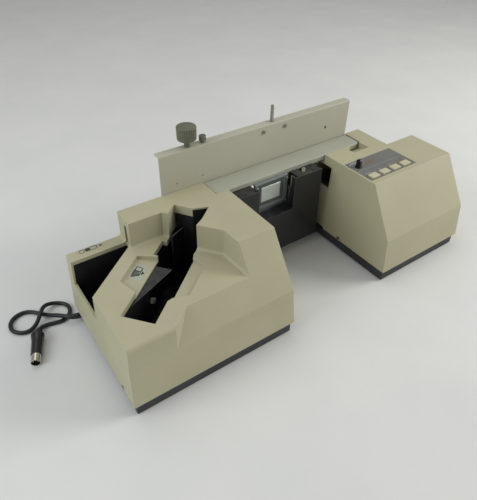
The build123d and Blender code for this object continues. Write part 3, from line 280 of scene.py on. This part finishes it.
def new_group(name, inputs, outputs):
    """An empty node group: vector sockets where the name is Vector or Normal, and float ones elsewhere."""
    tree = bpy.data.node_groups.new(name, "ShaderNodeTree")
    for names, side in ((inputs, "INPUT"), (outputs, "OUTPUT")):
        for socket in names:
            kind = "NodeSocketVector" if socket in ("Vector", "Normal") else "NodeSocketFloat"
            tree.interface.new_socket(name=socket, in_out=side, socket_type=kind)
    return tree, tree.nodes.new("NodeGroupInput"), tree.nodes.new("NodeGroupOutput")


def math_node(tree, operation, *values, clamp=False):
    """The result of one sum, product or comparison of sockets and numbers."""
    return add(tree, "Math", dict(enumerate(values)), operation=operation, use_clamp=clamp).outputs[0]


def group_grain():
    """Fine height: noise at the grain's size, plus slow patches at the size of a hand."""
    tree, into, out = new_group("moulded_grain", ["Vector", "Fine", "Slow"], ["Height", "Patch"])
    fine = add(tree, "TexNoise", {"Vector": into.outputs["Vector"], "Scale": into.outputs["Fine"],
                                  "Detail": 3.0, "Roughness": 0.6})
    slow = add(tree, "TexNoise", {"Vector": into.outputs["Vector"], "Scale": into.outputs["Slow"],
                                  "Detail": 4.0, "Roughness": 0.55})
    patch = add(tree, "MapRange", {"Value": slow.outputs[0], "From Min": 0.35, "From Max": 0.65})
    tree.links.new(fine.outputs[0], out.inputs["Height"])
    tree.links.new(patch.outputs[0], out.inputs["Patch"])
    return tree


def group_edge():
    """Rubbed edges: where a rounded normal turns away from the flat one, broken up by noise."""
    tree, into, out = new_group("rubbed_edge", ["Vector", "Radius"], ["Mask", "Normal"])
    bevel = add(tree, "Bevel", {"Radius": into.outputs["Radius"]}, samples=6)
    flat = add(tree, "NewGeometry")
    facing = add(tree, "VectorMath", {0: bevel.outputs[0], 1: flat.outputs["True Normal"]},
                 operation="DOT_PRODUCT")
    turned = math_node(tree, "SUBTRACT", 1.0, facing.outputs["Value"])
    broken = add(tree, "TexNoise", {"Vector": into.outputs["Vector"], "Scale": 160.0, "Detail": 2.0})
    worn = math_node(tree, "MULTIPLY", turned, broken.outputs[0])
    mask = add(tree, "MapRange", {"Value": worn, "From Min": 0.015, "From Max": 0.09})
    tree.links.new(mask.outputs[0], out.inputs["Mask"])
    tree.links.new(bevel.outputs[0], out.inputs["Normal"])
    return tree


def group_dust():
    """Settled dust: faces that look up, times a cloudy noise."""
    tree, into, out = new_group("settled_dust", ["Vector", "Size"], ["Mask"])
    lie = add(tree, "SeparateXYZ", {0: add(tree, "NewGeometry").outputs["Normal"]})
    cloud = add(tree, "TexNoise", {"Vector": into.outputs["Vector"], "Scale": into.outputs["Size"],
                                   "Detail": 6.0, "Roughness": 0.7})
    upward = add(tree, "MapRange", {"Value": lie.outputs["Z"], "From Min": 0.4, "From Max": 1.0})
    spread = add(tree, "MapRange", {"Value": cloud.outputs[0], "From Min": 0.42, "From Max": 0.75})
    tree.links.new(math_node(tree, "MULTIPLY", upward.outputs[0], spread.outputs[0]), out.inputs["Mask"])
    return tree


grain_group, edge_group, dust_group = group_grain(), group_edge(), group_dust()

# %% [markdown]
# A material is then one call: two near colours that the slow patches mix, a range of roughness, the
# size and depth of the grain, how far the edges have rubbed and how much dust lies on top.

# %% Material builder
def blended(tree, share, first, second):
    """A colour between two others, by a share from 0 to 1."""
    mix = add(tree, "Mix", {0: share, 6: first, 7: second}, data_type="RGBA")
    return mix.outputs[2]


def surface(name, colour, shade, rough=(0.4, 0.55), fine=900.0, slow=14.0, depth=0.00004, metal=0.0,
            edge=0.0006, worn=None, wear=0.5, dust=0.0, dust_colour=None, stretch=None, coat=0.0,
            specular=0.5):
    """A finish from its amounts; colours are (r, g, b) as a screen shows them."""
    material = bpy.data.materials.new(name)
    material.use_nodes = True
    tree = material.node_tree
    shader = tree.nodes["Principled BSDF"]
    place = add(tree, "TexCoord").outputs["Object"]
    grain_place = place
    if stretch is not None:
        grain_place = add(tree, "Mapping", {"Vector": place, "Scale": stretch}).outputs[0]
    grain = add(tree, "Group", node_tree=grain_group)
    tree.links.new(grain_place, grain.inputs["Vector"])
    grain.inputs["Fine"].default_value = fine
    grain.inputs["Slow"].default_value = slow
    rubbed = add(tree, "Group", node_tree=edge_group)
    tree.links.new(place, rubbed.inputs["Vector"])
    rubbed.inputs["Radius"].default_value = edge
    base = blended(tree, grain.outputs["Patch"], tone(*colour), tone(*shade))
    speck = add(tree, "MapRange", {"Value": grain.outputs["Height"], "From Min": 0.3, "From Max": 0.7,
                                   "To Min": 0.0, "To Max": 0.35}).outputs[0]
    base = blended(tree, speck, base, tone(*shade))
    if worn is not None:
        base = blended(tree, math_node(tree, "MULTIPLY", rubbed.outputs["Mask"], wear), base, tone(*worn))
    if dust:
        settled = add(tree, "Group", node_tree=dust_group)
        settled.inputs["Size"].default_value = 60.0
        tree.links.new(place, settled.inputs["Vector"])
        base = blended(tree, math_node(tree, "MULTIPLY", settled.outputs["Mask"], dust), base,
                       tone(*(dust_colour or (150, 148, 140))))
    tree.links.new(base, shader.inputs["Base Color"])
    dull = add(tree, "MapRange", {"Value": grain.outputs["Patch"], "To Min": rough[0], "To Max": rough[1]})
    tree.links.new(dull.outputs[0], shader.inputs["Roughness"])
    bump = add(tree, "Bump", {"Strength": 1.0, "Distance": depth, "Height": grain.outputs["Height"],
                              "Normal": rubbed.outputs["Normal"]})
    tree.links.new(bump.outputs[0], shader.inputs["Normal"])
    shader.inputs["Metallic"].default_value = metal
    shader.inputs["Coat Weight"].default_value = coat
    shader.inputs["Specular IOR Level"].default_value = specular
    return material


# %% [markdown]
# ## Finishes
# The housings are a warm beige thermoplastic with a very fine spark-eroded grain. The deck inside the
# slots, the bridge and the guides are painted or moulded black. Bright parts are plated steel, brushed
# aluminium or nickel. The list below gives each finish of the model one line of amounts.

# %% Finishes
black_dust = (118, 116, 108)
finishes = {
    "beige_shell": surface("beige_moulding", (188, 184, 153), (181, 176, 145), (0.42, 0.56), 1400.0, 9.0,
                           0.00003, worn=(224, 220, 196), wear=0.6, edge=0.0009),
    "tray_grey": surface("tray_moulding", (56, 57, 60), (49, 50, 53), (0.5, 0.65), 1100.0, 20.0, 0.00005,
                         worn=(120, 120, 120), wear=0.5),
    "foot_rubber": surface("foot_rubber", (38, 38, 38), (30, 30, 30), (0.75, 0.9), 600.0, 40.0, 0.00006),
    "screw_steel": surface("plated_steel", (176, 174, 168), (150, 148, 142), (0.22, 0.38), 2500.0, 60.0,
                           0.00001, metal=1.0, worn=(210, 208, 200), wear=0.4, edge=0.0003),
    "liner_black": surface("liner_black", (27, 27, 29), (19, 19, 21), (0.45, 0.65), 900.0, 30.0, 0.00005,
                           worn=(58, 58, 58), dust=0.25, dust_colour=black_dust),
    "guide_black": surface("guide_enamel", (34, 34, 36), (24, 24, 26), (0.28, 0.42), 1500.0, 25.0, 0.00002,
                           worn=(150, 150, 146), wear=0.9, edge=0.0005, dust=0.35, dust_colour=black_dust),
    "gear_plastic": surface("gear_nylon", (214, 212, 198), (200, 197, 180), (0.35, 0.5), 1200.0, 40.0),
    "bracket_steel": surface("zinc_plate", (160, 162, 162), (142, 145, 148), (0.3, 0.5), 500.0, 50.0, 0.00002,
                             metal=1.0, stretch=(1.0, 0.15, 1.0)),
    "motor_metal": surface("motor_can", (150, 150, 148), (132, 132, 132), (0.3, 0.45), 900.0, 40.0,
                           metal=1.0),
    "chassis_black": surface("bridge_enamel", (30, 30, 33), (22, 22, 24), (0.3, 0.5), 1300.0, 22.0, 0.00003,
                             worn=(112, 112, 110), wear=0.8, edge=0.0006, dust=0.3, dust_colour=black_dust),
    "gate_grey": surface("gate_aluminium", (158, 166, 168), (138, 146, 149), (0.3, 0.45), 700.0, 40.0,
                         0.00002, metal=0.7, stretch=(0.2, 1.0, 1.0), worn=(206, 210, 210), wear=0.6,
                         edge=0.0004),
    "bezel_dark": surface("bezel_enamel", (84, 90, 84), (70, 76, 71), (0.35, 0.5), 1000.0, 50.0,
                          worn=(140, 146, 140), wear=0.6, edge=0.0004),
    "roller_cream": surface("roller_acetal", (206, 201, 176), (192, 186, 160), (0.3, 0.45), 900.0, 80.0),
    "fence_paint": surface("fence_paint", (190, 188, 170), (183, 181, 163), (0.38, 0.5), 1100.0, 8.0, 0.00003,
                           worn=(222, 220, 206), wear=0.7, edge=0.0008),
    "guide_block": surface("guide_block", (52, 52, 52), (42, 42, 42), (0.5, 0.6), 900.0, 60.0),
    "bush_brass": surface("turned_brass", (190, 158, 92), (170, 138, 76), (0.25, 0.4), 1500.0, 70.0, 0.00001,
                          metal=1.0),
    "knob_grey": surface("knob_grey", (112, 113, 95), (98, 99, 84), (0.4, 0.55), 800.0, 60.0, 0.00004,
                         worn=(168, 168, 150), wear=0.6, edge=0.0005),
    "thumb_metal": surface("thumb_nickel", (150, 146, 134), (120, 117, 108), (0.3, 0.45), 1200.0, 90.0,
                           0.00002, metal=0.9, worn=(200, 198, 188), wear=0.7, edge=0.0003),
    "cover_paint": surface("cover_paint", (178, 180, 163), (171, 173, 157), (0.35, 0.46), 1500.0, 10.0,
                           0.00002, worn=(226, 224, 200), wear=0.8, edge=0.0009),
    "panel_grey": surface("panel_film", (122, 122, 118), (114, 114, 111), (0.35, 0.5), 1800.0, 30.0, 0.00001,
                          worn=(92, 92, 90), wear=0.4, edge=0.0004),
    "window_brown": surface("smoked_window", (128, 116, 102), (112, 101, 90), (0.12, 0.22), 600.0, 60.0,
                            0.00001, coat=0.5),
    "key_cream": surface("key_cream", (205, 201, 168), (198, 193, 160), (0.38, 0.5), 1500.0, 50.0, 0.00002,
                         worn=(226, 222, 196), wear=0.6, edge=0.0006),
    "lever_black": surface("lever_black", (24, 24, 24), (18, 18, 18), (0.18, 0.32), 900.0, 60.0, 0.00001),
    "board_green": surface("circuit_lacquer", (48, 92, 52), (38, 78, 44), (0.25, 0.4), 900.0, 60.0, coat=0.3),
    "switch_black": surface("switch_black", (40, 40, 40), (32, 32, 32), (0.45, 0.6), 900.0, 60.0),
    "takeup_steel": surface("turned_steel", (170, 170, 168), (150, 150, 150), (0.2, 0.35), 1800.0, 80.0,
                            0.00001, metal=1.0),
    "reel_plastic": surface("reel_black", (46, 46, 46), (36, 36, 36), (0.35, 0.5), 900.0, 50.0),
    "belt_rubber": surface("belt_rubber", (26, 26, 26), (20, 20, 20), (0.7, 0.85), 900.0, 50.0),
    "cord_rubber": surface("lead_rubber", (26, 27, 30), (19, 20, 23), (0.32, 0.46), 700.0, 60.0, 0.00003,
                           edge=0.0003),
    "plug_black": surface("plug_moulding", (28, 28, 30), (21, 21, 23), (0.22, 0.36), 900.0, 60.0, 0.00002,
                          edge=0.0005),
    "plug_metal": surface("plug_nickel", (214, 211, 196), (190, 186, 170), (0.12, 0.26), 1500.0, 90.0,
                          0.00001, metal=1.0, edge=0.0003),
}
lead.data.materials.append(finishes["cord_rubber"])

# %% [markdown]
# The gate holds two small panes that spread the light over the film, so they look milky. A small share
# of the shader's own transmission goes with a pale, faint green body colour. That pale colour is partly
# painted light: it stands in for the bright floor seen through the panes from behind. Fine wiping marks
# in the roughness keep them from looking like card.

# %% Glass
def glass(name, colour, rough, clear):
    """Tinted glass: a share of it lets light through, and its roughness wanders between two values."""
    material = bpy.data.materials.new(name)
    material.use_nodes = True
    tree = material.node_tree
    shader = tree.nodes["Principled BSDF"]
    place = add(tree, "TexCoord").outputs["Object"]
    grain = add(tree, "Group", node_tree=grain_group)
    tree.links.new(place, grain.inputs["Vector"])
    grain.inputs["Fine"].default_value = 400.0
    grain.inputs["Slow"].default_value = 70.0
    wiped = add(tree, "MapRange", {"Value": grain.outputs["Patch"], "To Min": rough[0], "To Max": rough[1]})
    tree.links.new(wiped.outputs[0], shader.inputs["Roughness"])
    body = blended(tree, grain.outputs["Patch"], tone(*colour), tone(*(c - 6 for c in colour)))
    tree.links.new(body, shader.inputs["Base Color"])
    shader.inputs["Transmission Weight"].default_value = clear
    shader.inputs["IOR"].default_value = 1.5
    return material


# Painted light: the pale body colour partly stands in for the bright floor seen through the gate panes.
finishes["gate_glass"] = glass("gate_glass", (206, 216, 209), (0.08, 0.18), 0.2)

for part in frame["record"]["subparts"]:
    mesh = nodes[part["node"]].data
    mesh.materials.clear()
    mesh.materials.append(finishes[part["material_slot"]])
print(len(finishes), "finishes on", len(nodes), "nodes")

# %% [markdown]
# ## Plates and rollers on the bridge
# The bridge is closed by a flat black plate at each side of its notch. The left plate hides its two
# rollers, which end just under it, and the right one has a slot through which one roller stands.
# Rollers, screws and nuts are turned pieces: a profile of radii and heights goes once round an axis.

# %% Bridge top
def turned(centre, profile, axis="z", around=32):
    """A turned piece: each radius of the profile goes round the axis at its own place along it."""
    radius, along = np.asarray(profile, float).T[:, :, None]
    angle = np.linspace(0, 2 * math.pi, around, endpoint=False)[None]
    first, second, along = radius * np.cos(angle), radius * np.sin(angle), along + 0 * angle
    if axis == "z":
        places = np.stack([centre[0] + first, centre[1] + second, along], -1)
    else:
        places = np.stack([centre[0] + first, along, centre[1] - second], -1)
    last = (len(profile) - 1) * around
    faces = grid_faces(len(profile), around, wrap_columns=True)
    return at(places.reshape(-1, 3)), faces + [list(range(around))[::-1], [last + i for i in range(around)]]


plate_low, plate_high, plate_back = 150.4, 151.6, 160.2
left_plate = [(250.8, 137.2), (286.8, 137.2), (286.8, plate_back), (250.8, plate_back)]
right_plate = [(366.0, 137.2), (413.5, 137.2), (413.5, plate_back), (389.6, plate_back), (389.6, 146.2),
               (381.4, 146.2), (381.4, plate_back), (366.0, plate_back)]
new_piece("bridge_top_left", *slab(left_plate, plate_low, plate_high), finishes["chassis_black"])
new_piece("bridge_top_right", *slab(right_plate, plate_low, plate_high), finishes["chassis_black"])
screw_profile = [(2.7, plate_high), (2.7, plate_high + 0.7), (1.9, plate_high + 1.2), (0.9, plate_high + 1.2),
                 (0.7, plate_high + 0.6)]
bridge_screws = [turned(centre, screw_profile) for centre in ((268.8, 144.3), (401.9, 146.1))]
new_piece("bridge_screws", *join_slabs(bridge_screws), finishes["guide_black"])

roller_line, roller_foot = 150.0, 84.3
low_profile = [(2.4, roller_foot), (2.75, roller_foot + 0.4), (2.75, 105.0), (2.4, 106.0), (2.4, 126.0),
               (2.75, 127.0), (2.75, 147.4), (2.4, 147.8)]
low_roller = new_piece("low_roller", *turned((258.0, roller_line), low_profile), finishes["roller_cream"],
                       body="roller_1", smooth=True)
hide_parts("film_roller_1")
pin_tops = {258.0: 147.8, 279.0: 148.0, 364.5: 148.0, 385.5: 156.0}
pins = [turned((x, roller_line),
               [(1.2, 84.0), (1.2, top), (2.0, top + 0.3), (2.0, top + 0.9), (1.4, top + 1.1)])
        for x, top in pin_tops.items()]
pin_set = new_piece("roller_pin_set", *join_slabs(pins), finishes["takeup_steel"])
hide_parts("roller_pins")

# %% [markdown]
# Blind nuts close the three open holes of the fence from behind. Their black enamel is painted shade, so that
# the holes look dark from the front.

# %% Nuts behind the fence
fence_back = 200.0
fence_holes = ((182.0, 171.3, 2.6), (226.0, 171.3, 2.6), (471.5, 185.2, 4.0))
nuts = [turned((x, z),
               [(radius, fence_back + 0.02), (radius, fence_back + 2.4), (radius - 0.6, fence_back + 3.0)],
               axis="y", around=6) for x, z, radius in fence_holes]
# The nuts' black enamel is painted shade inside the fence holes.
new_piece("fence_nuts_painted_shade", *join_slabs(nuts), finishes["guide_black"])

# %% [markdown]
# ## Print and labels
# A label and a few printed signs tell the user which way a cartridge goes in. Print is a film a few
# hundredths of a millimetre thick, so each sign is a thin closed slab that stands just proud of its
# surface. The signs are plain pictograms of our own: a cartridge, a film way and an arrow.

# %% Print helpers
def ribbon(path, width):
    """The outline of a band of given width: the path pushed out by half the width to both sides."""
    path = np.asarray(path, float)
    ahead = np.gradient(path, axis=0)
    ahead /= np.linalg.norm(ahead, axis=1)[:, None]
    side = np.column_stack([-ahead[:, 1], ahead[:, 0]]) * (np.broadcast_to(width, len(path)) / 2)[:, None]
    return np.vstack([path - side, (path + side)[::-1]])


def box_outline(left, right, front, back):
    """The four corners of an upright rectangle, anticlockwise."""
    return [(left, front), (right, front), (right, back), (left, back)]


ink_dark = surface("print_dark", (58, 60, 54), (46, 48, 44), (0.4, 0.5), 900.0, 60.0, 0.00001)
ink_grey = surface("print_grey", (104, 106, 98), (94, 96, 88), (0.4, 0.5), 900.0, 60.0, 0.00001)
ink_white = surface("print_white", (176, 180, 178), (160, 164, 162), (0.4, 0.5), 900.0, 60.0, 0.00001)
ink_red = surface("print_red", (168, 96, 80), (150, 84, 72), (0.4, 0.5), 900.0, 60.0, 0.00001)
label_foil = surface("label_foil", (184, 186, 170), (176, 178, 162), (0.3, 0.42), 900.0, 30.0, 0.00001)

deck_height = 118.3
film_proud = 0.06


def label_height(across, proud):
    """The recess floor slopes: its height rises by 3 mm over 29 mm away from the slot."""
    return deck_height - 8.0 - 3.0 * np.asarray(across, float) / 29.0 + proud


def label_slab(outline, low, high):
    """A slab on the sloping recess floor from an outline of (along, across) places."""
    outline = np.asarray(outline, float)
    x, y = in_slot(outline[:, 0], outline[:, 1])
    places = np.column_stack([x, y])
    turn = np.cross(places[1] - places[0], places[2] - places[1])
    order = slice(None) if turn > 0 else slice(None, None, -1)
    return slab(places[order], label_height(outline[order, 1], low), label_height(outline[order, 1], high))


# %% [markdown]
# The label is a pale film on the sloping floor of the recess. On it lie the cartridge's shade, its
# outline and an arrow, each one film thickness above the last, so that no two faces share a plane.

# %% Label in the recess
new_piece("cartridge_label", *label_slab(box_outline(67.5, 98.0, -23.8, -5.4), 0.02, film_proud),
          label_foil)
cartridge_body = [(71.0, -21.8), (85.5, -22.6), (85.5, -15.0), (77.0, -12.8), (72.5, -17.6)]
new_piece("label_cartridge_shade", *label_slab(cartridge_body, film_proud, 2 * film_proud), ink_grey)
cartridge_frame = [(76.6, -13.0), (76.6, -21.5), (91.6, -21.0), (92.4, -19.0), (91.4, -12.6), (76.2, -12.6)]
label_lines = [label_slab(ribbon(cartridge_frame, 1.5), 2 * film_proud, 3 * film_proud),
               label_slab(ribbon([(84.8, -20.6), (84.8, -13.0)], 1.3), 2 * film_proud, 3 * film_proud),
               label_slab([(79.0, -10.8), (86.8, -10.8), (82.9, -6.8)], film_proud, 3 * film_proud)]
new_piece("label_signs", *join_slabs(label_lines), ink_dark)

# %% [markdown]
# The rim behind the reel bay carries the same sign drawn in line: a reel seen from the side, its box
# and an arrow towards the gate.

# %% Sign on the bay's rim
turn = np.linspace(0, 2 * math.pi, 25)
rim_reel = np.column_stack([26.0 + 3.6 * np.cos(turn), 192.2 + 3.6 * np.sin(turn)])
rim_box = [(38.5, 195.6), (45.6, 195.6), (47.4, 194.0), (47.4, 190.0), (45.6, 188.8), (38.5, 188.8)]


def rim_slab(outline):
    """A thin slab of print on the rim at deck height."""
    return slab(outline, deck_height + 0.02, deck_height + film_proud)


rim_signs = [rim_slab(ribbon(rim_reel, 0.9)), rim_slab(ribbon(rim_box, 1.2)),
             rim_slab(box_outline(31.0, 38.0, 188.8, 195.6)),
             rim_slab([(51.0, 189.6), (56.8, 191.9), (51.0, 194.2)])]
new_piece("rim_signs", *join_slabs(rim_signs), ink_dark)

# %% [markdown]
# The keypad film on the right housing has a dividing line, a curved scale round the speed lever, small
# arrows behind three keys and a red bar behind the fourth.

# %% Print on the control panel
panel_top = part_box("control_panel")[1].z * 1000
key_first, key_pitch, key_sign_y, key_line_y, sign_size = 458.1, 23.9, 78.2, 76.2, 3.2
key_places = [key_first + key_pitch * index for index in range(4)]


def panel_slab(outline):
    """A thin slab of print on the panel film."""
    return slab(outline, panel_top + 0.01, panel_top + 0.01 + film_proud)


lever_place = np.array([457.0, 100.0])
sweep = np.radians(np.linspace(150, 20, 27))
scale_arc = lever_place + 13.0 * np.column_stack([np.cos(sweep), np.sin(sweep)])


def arrow(x, y, direction, size):
    """A small triangle whose point looks along x."""
    tip = (x + direction * size, y)
    return [tip, (x, y + direction * size * 0.6), (x, y - direction * size * 0.6)]


panel_signs = [panel_slab(ribbon([(452.0, 89.3), (541.0, 89.3)], 0.7)),
               panel_slab(ribbon(scale_arc, np.linspace(0.8, 3.2, len(scale_arc)))),
               panel_slab(arrow(key_places[0] - 3.5, key_sign_y, -1, sign_size)),
               panel_slab(arrow(key_places[0] + 1.5, key_sign_y, -1, sign_size)),
               panel_slab(arrow(key_places[1] + 1.2, key_sign_y, -1, sign_size)),
               panel_slab(arrow(key_places[2] - 1.2, key_sign_y, 1, sign_size)),
               panel_slab(ribbon([(key_places[0] - 8, key_line_y), (key_places[0] + 8, key_line_y)], 0.6)),
               panel_slab(ribbon([(key_places[2] - 8, key_line_y), (key_places[2] + 8, key_line_y)], 0.6))]
new_piece("panel_signs", *join_slabs(panel_signs), ink_white)
new_piece("panel_red_bar", *panel_slab(box_outline(key_places[3] - 7, key_places[3] + 5, 76.8, 78.4)),
          ink_red)

# %% [markdown]
# ## Strain reliefs
# Where a lead enters a housing or a plug, a soft sleeve keeps it from kinking. Each sleeve is a tube
# carried along the first or last stretch of the lead's own line. The plug's sleeve is moulded in ribs.

# %% Strain reliefs
def stretch_of(line, start, length):
    """The part of a line between two lengths from its start, cut into even steps of half a millimetre."""
    run = np.concatenate([[0], np.cumsum(np.linalg.norm(np.diff(line, axis=0), axis=1))])
    steps = np.arange(start, start + length, 0.0005)
    return np.column_stack([np.interp(steps, run, line[:, axis]) for axis in range(3)])


exit_path = stretch_of(lead_line, 0.0, 0.020)
fade = np.linspace(0, 1, len(exit_path))
exit_sleeve = new_piece("lead_sleeve", *tube_along(exit_path, (3.35 + 1.3 * (1 - fade)) / 1000),
                        finishes["cord_rubber"], smooth=True)
plug_path = stretch_of(lead_line[::-1], 0.0, 0.013)
fade = np.linspace(0, 1, len(plug_path))
ribs = 0.45 * (np.sin(fade * 2 * math.pi * 4) > 0)
plug_sleeve = new_piece("plug_sleeve", *tube_along(plug_path, (4.9 - 1.4 * fade + ribs) / 1000),
                        finishes["plug_black"])

# %% [markdown]
# ## Floor and light
# The carrier stands on a seamless pale backdrop that curves up behind it. The backdrop is one curved
# sheet: flat, then a quarter circle, then upright. It carries a faint woven mottling.

# %% Backdrop
backdrop_angle = 35.0


def backdrop():
    """A sweep: distance along the sheet gives its depth and height, flat first and then a quarter turn."""
    wide, front, back, bend, high = 3.5, -3.0, 1.9, 1.2, 3.0
    flat_run = np.linspace(front, back, 12)
    angle = np.linspace(0, math.pi / 2, 24)[1:]
    depth = np.concatenate([flat_run, back + bend * np.sin(angle), [back + bend]])
    height = np.concatenate([np.zeros(12), bend * (1 - np.cos(angle)), [high]])
    across = np.linspace(-wide, wide, 8)
    turn = math.radians(-backdrop_angle)
    x, y = np.meshgrid(across, depth)
    z = np.repeat(height[:, None], len(across), 1)
    turned_x = x * math.cos(turn) - y * math.sin(turn)
    turned_y = x * math.sin(turn) + y * math.cos(turn)
    places = np.stack([turned_x, turned_y, z], -1)
    return places.reshape(-1, 3), grid_faces(len(depth), len(across))


backdrop_finish = surface("backdrop_paper", (232, 232, 229), (226, 227, 224), (0.75, 0.9), 260.0, 6.0,
                          0.00012, specular=0.2)
floor = new_piece("backdrop", *backdrop(), backdrop_finish, body=None, smooth=True)

# %% [markdown]
# Daylight falls from a window at the right front, a weak lamp hangs high behind the carrier, a cool
# lamp lights the left faces and the pale room fills the rest. The window stands close, so the right
# housing is brighter than the left one.

# %% Lights
def lamp(name, place, target, size, watts, colour):
    """A square area light that looks from a place to a target."""
    data = bpy.data.lights.new(name, "AREA")
    data.shape = "SQUARE"
    data.size = size
    data.energy = watts
    data.color = colour
    light = bpy.data.objects.new(name, data)
    bpy.context.scene.collection.objects.link(light)
    aim = (Vector(target) - Vector(place)).to_track_quat("-Z", "Y")
    light.matrix_world = Matrix.Translation(place) @ aim.to_matrix().to_4x4()
    return light


lamp("window", (1.5, -0.8, 1.1), (0.1, 0.0, 0.05), 0.9, 20.0, (1.0, 0.985, 0.95))
lamp("ceiling", (-0.2, 0.9, 2.0), (0.0, 0.0, 0.0), 1.4, 6.0, (1.0, 1.0, 1.0))
lamp("left_fill", (-1.5, 0.1, 0.9), (-0.2, 0.0, 0.05), 1.0, 9.0, (0.9, 0.96, 1.0))
world = bpy.data.worlds.new("room")
bpy.context.scene.world = world
world.use_nodes = True
world.node_tree.nodes["Background"].inputs["Color"].default_value = (0.99, 0.99, 1.0, 1.0)
world.node_tree.nodes["Background"].inputs["Strength"].default_value = 0.35
bpy.context.scene.view_settings.view_transform = "Standard"
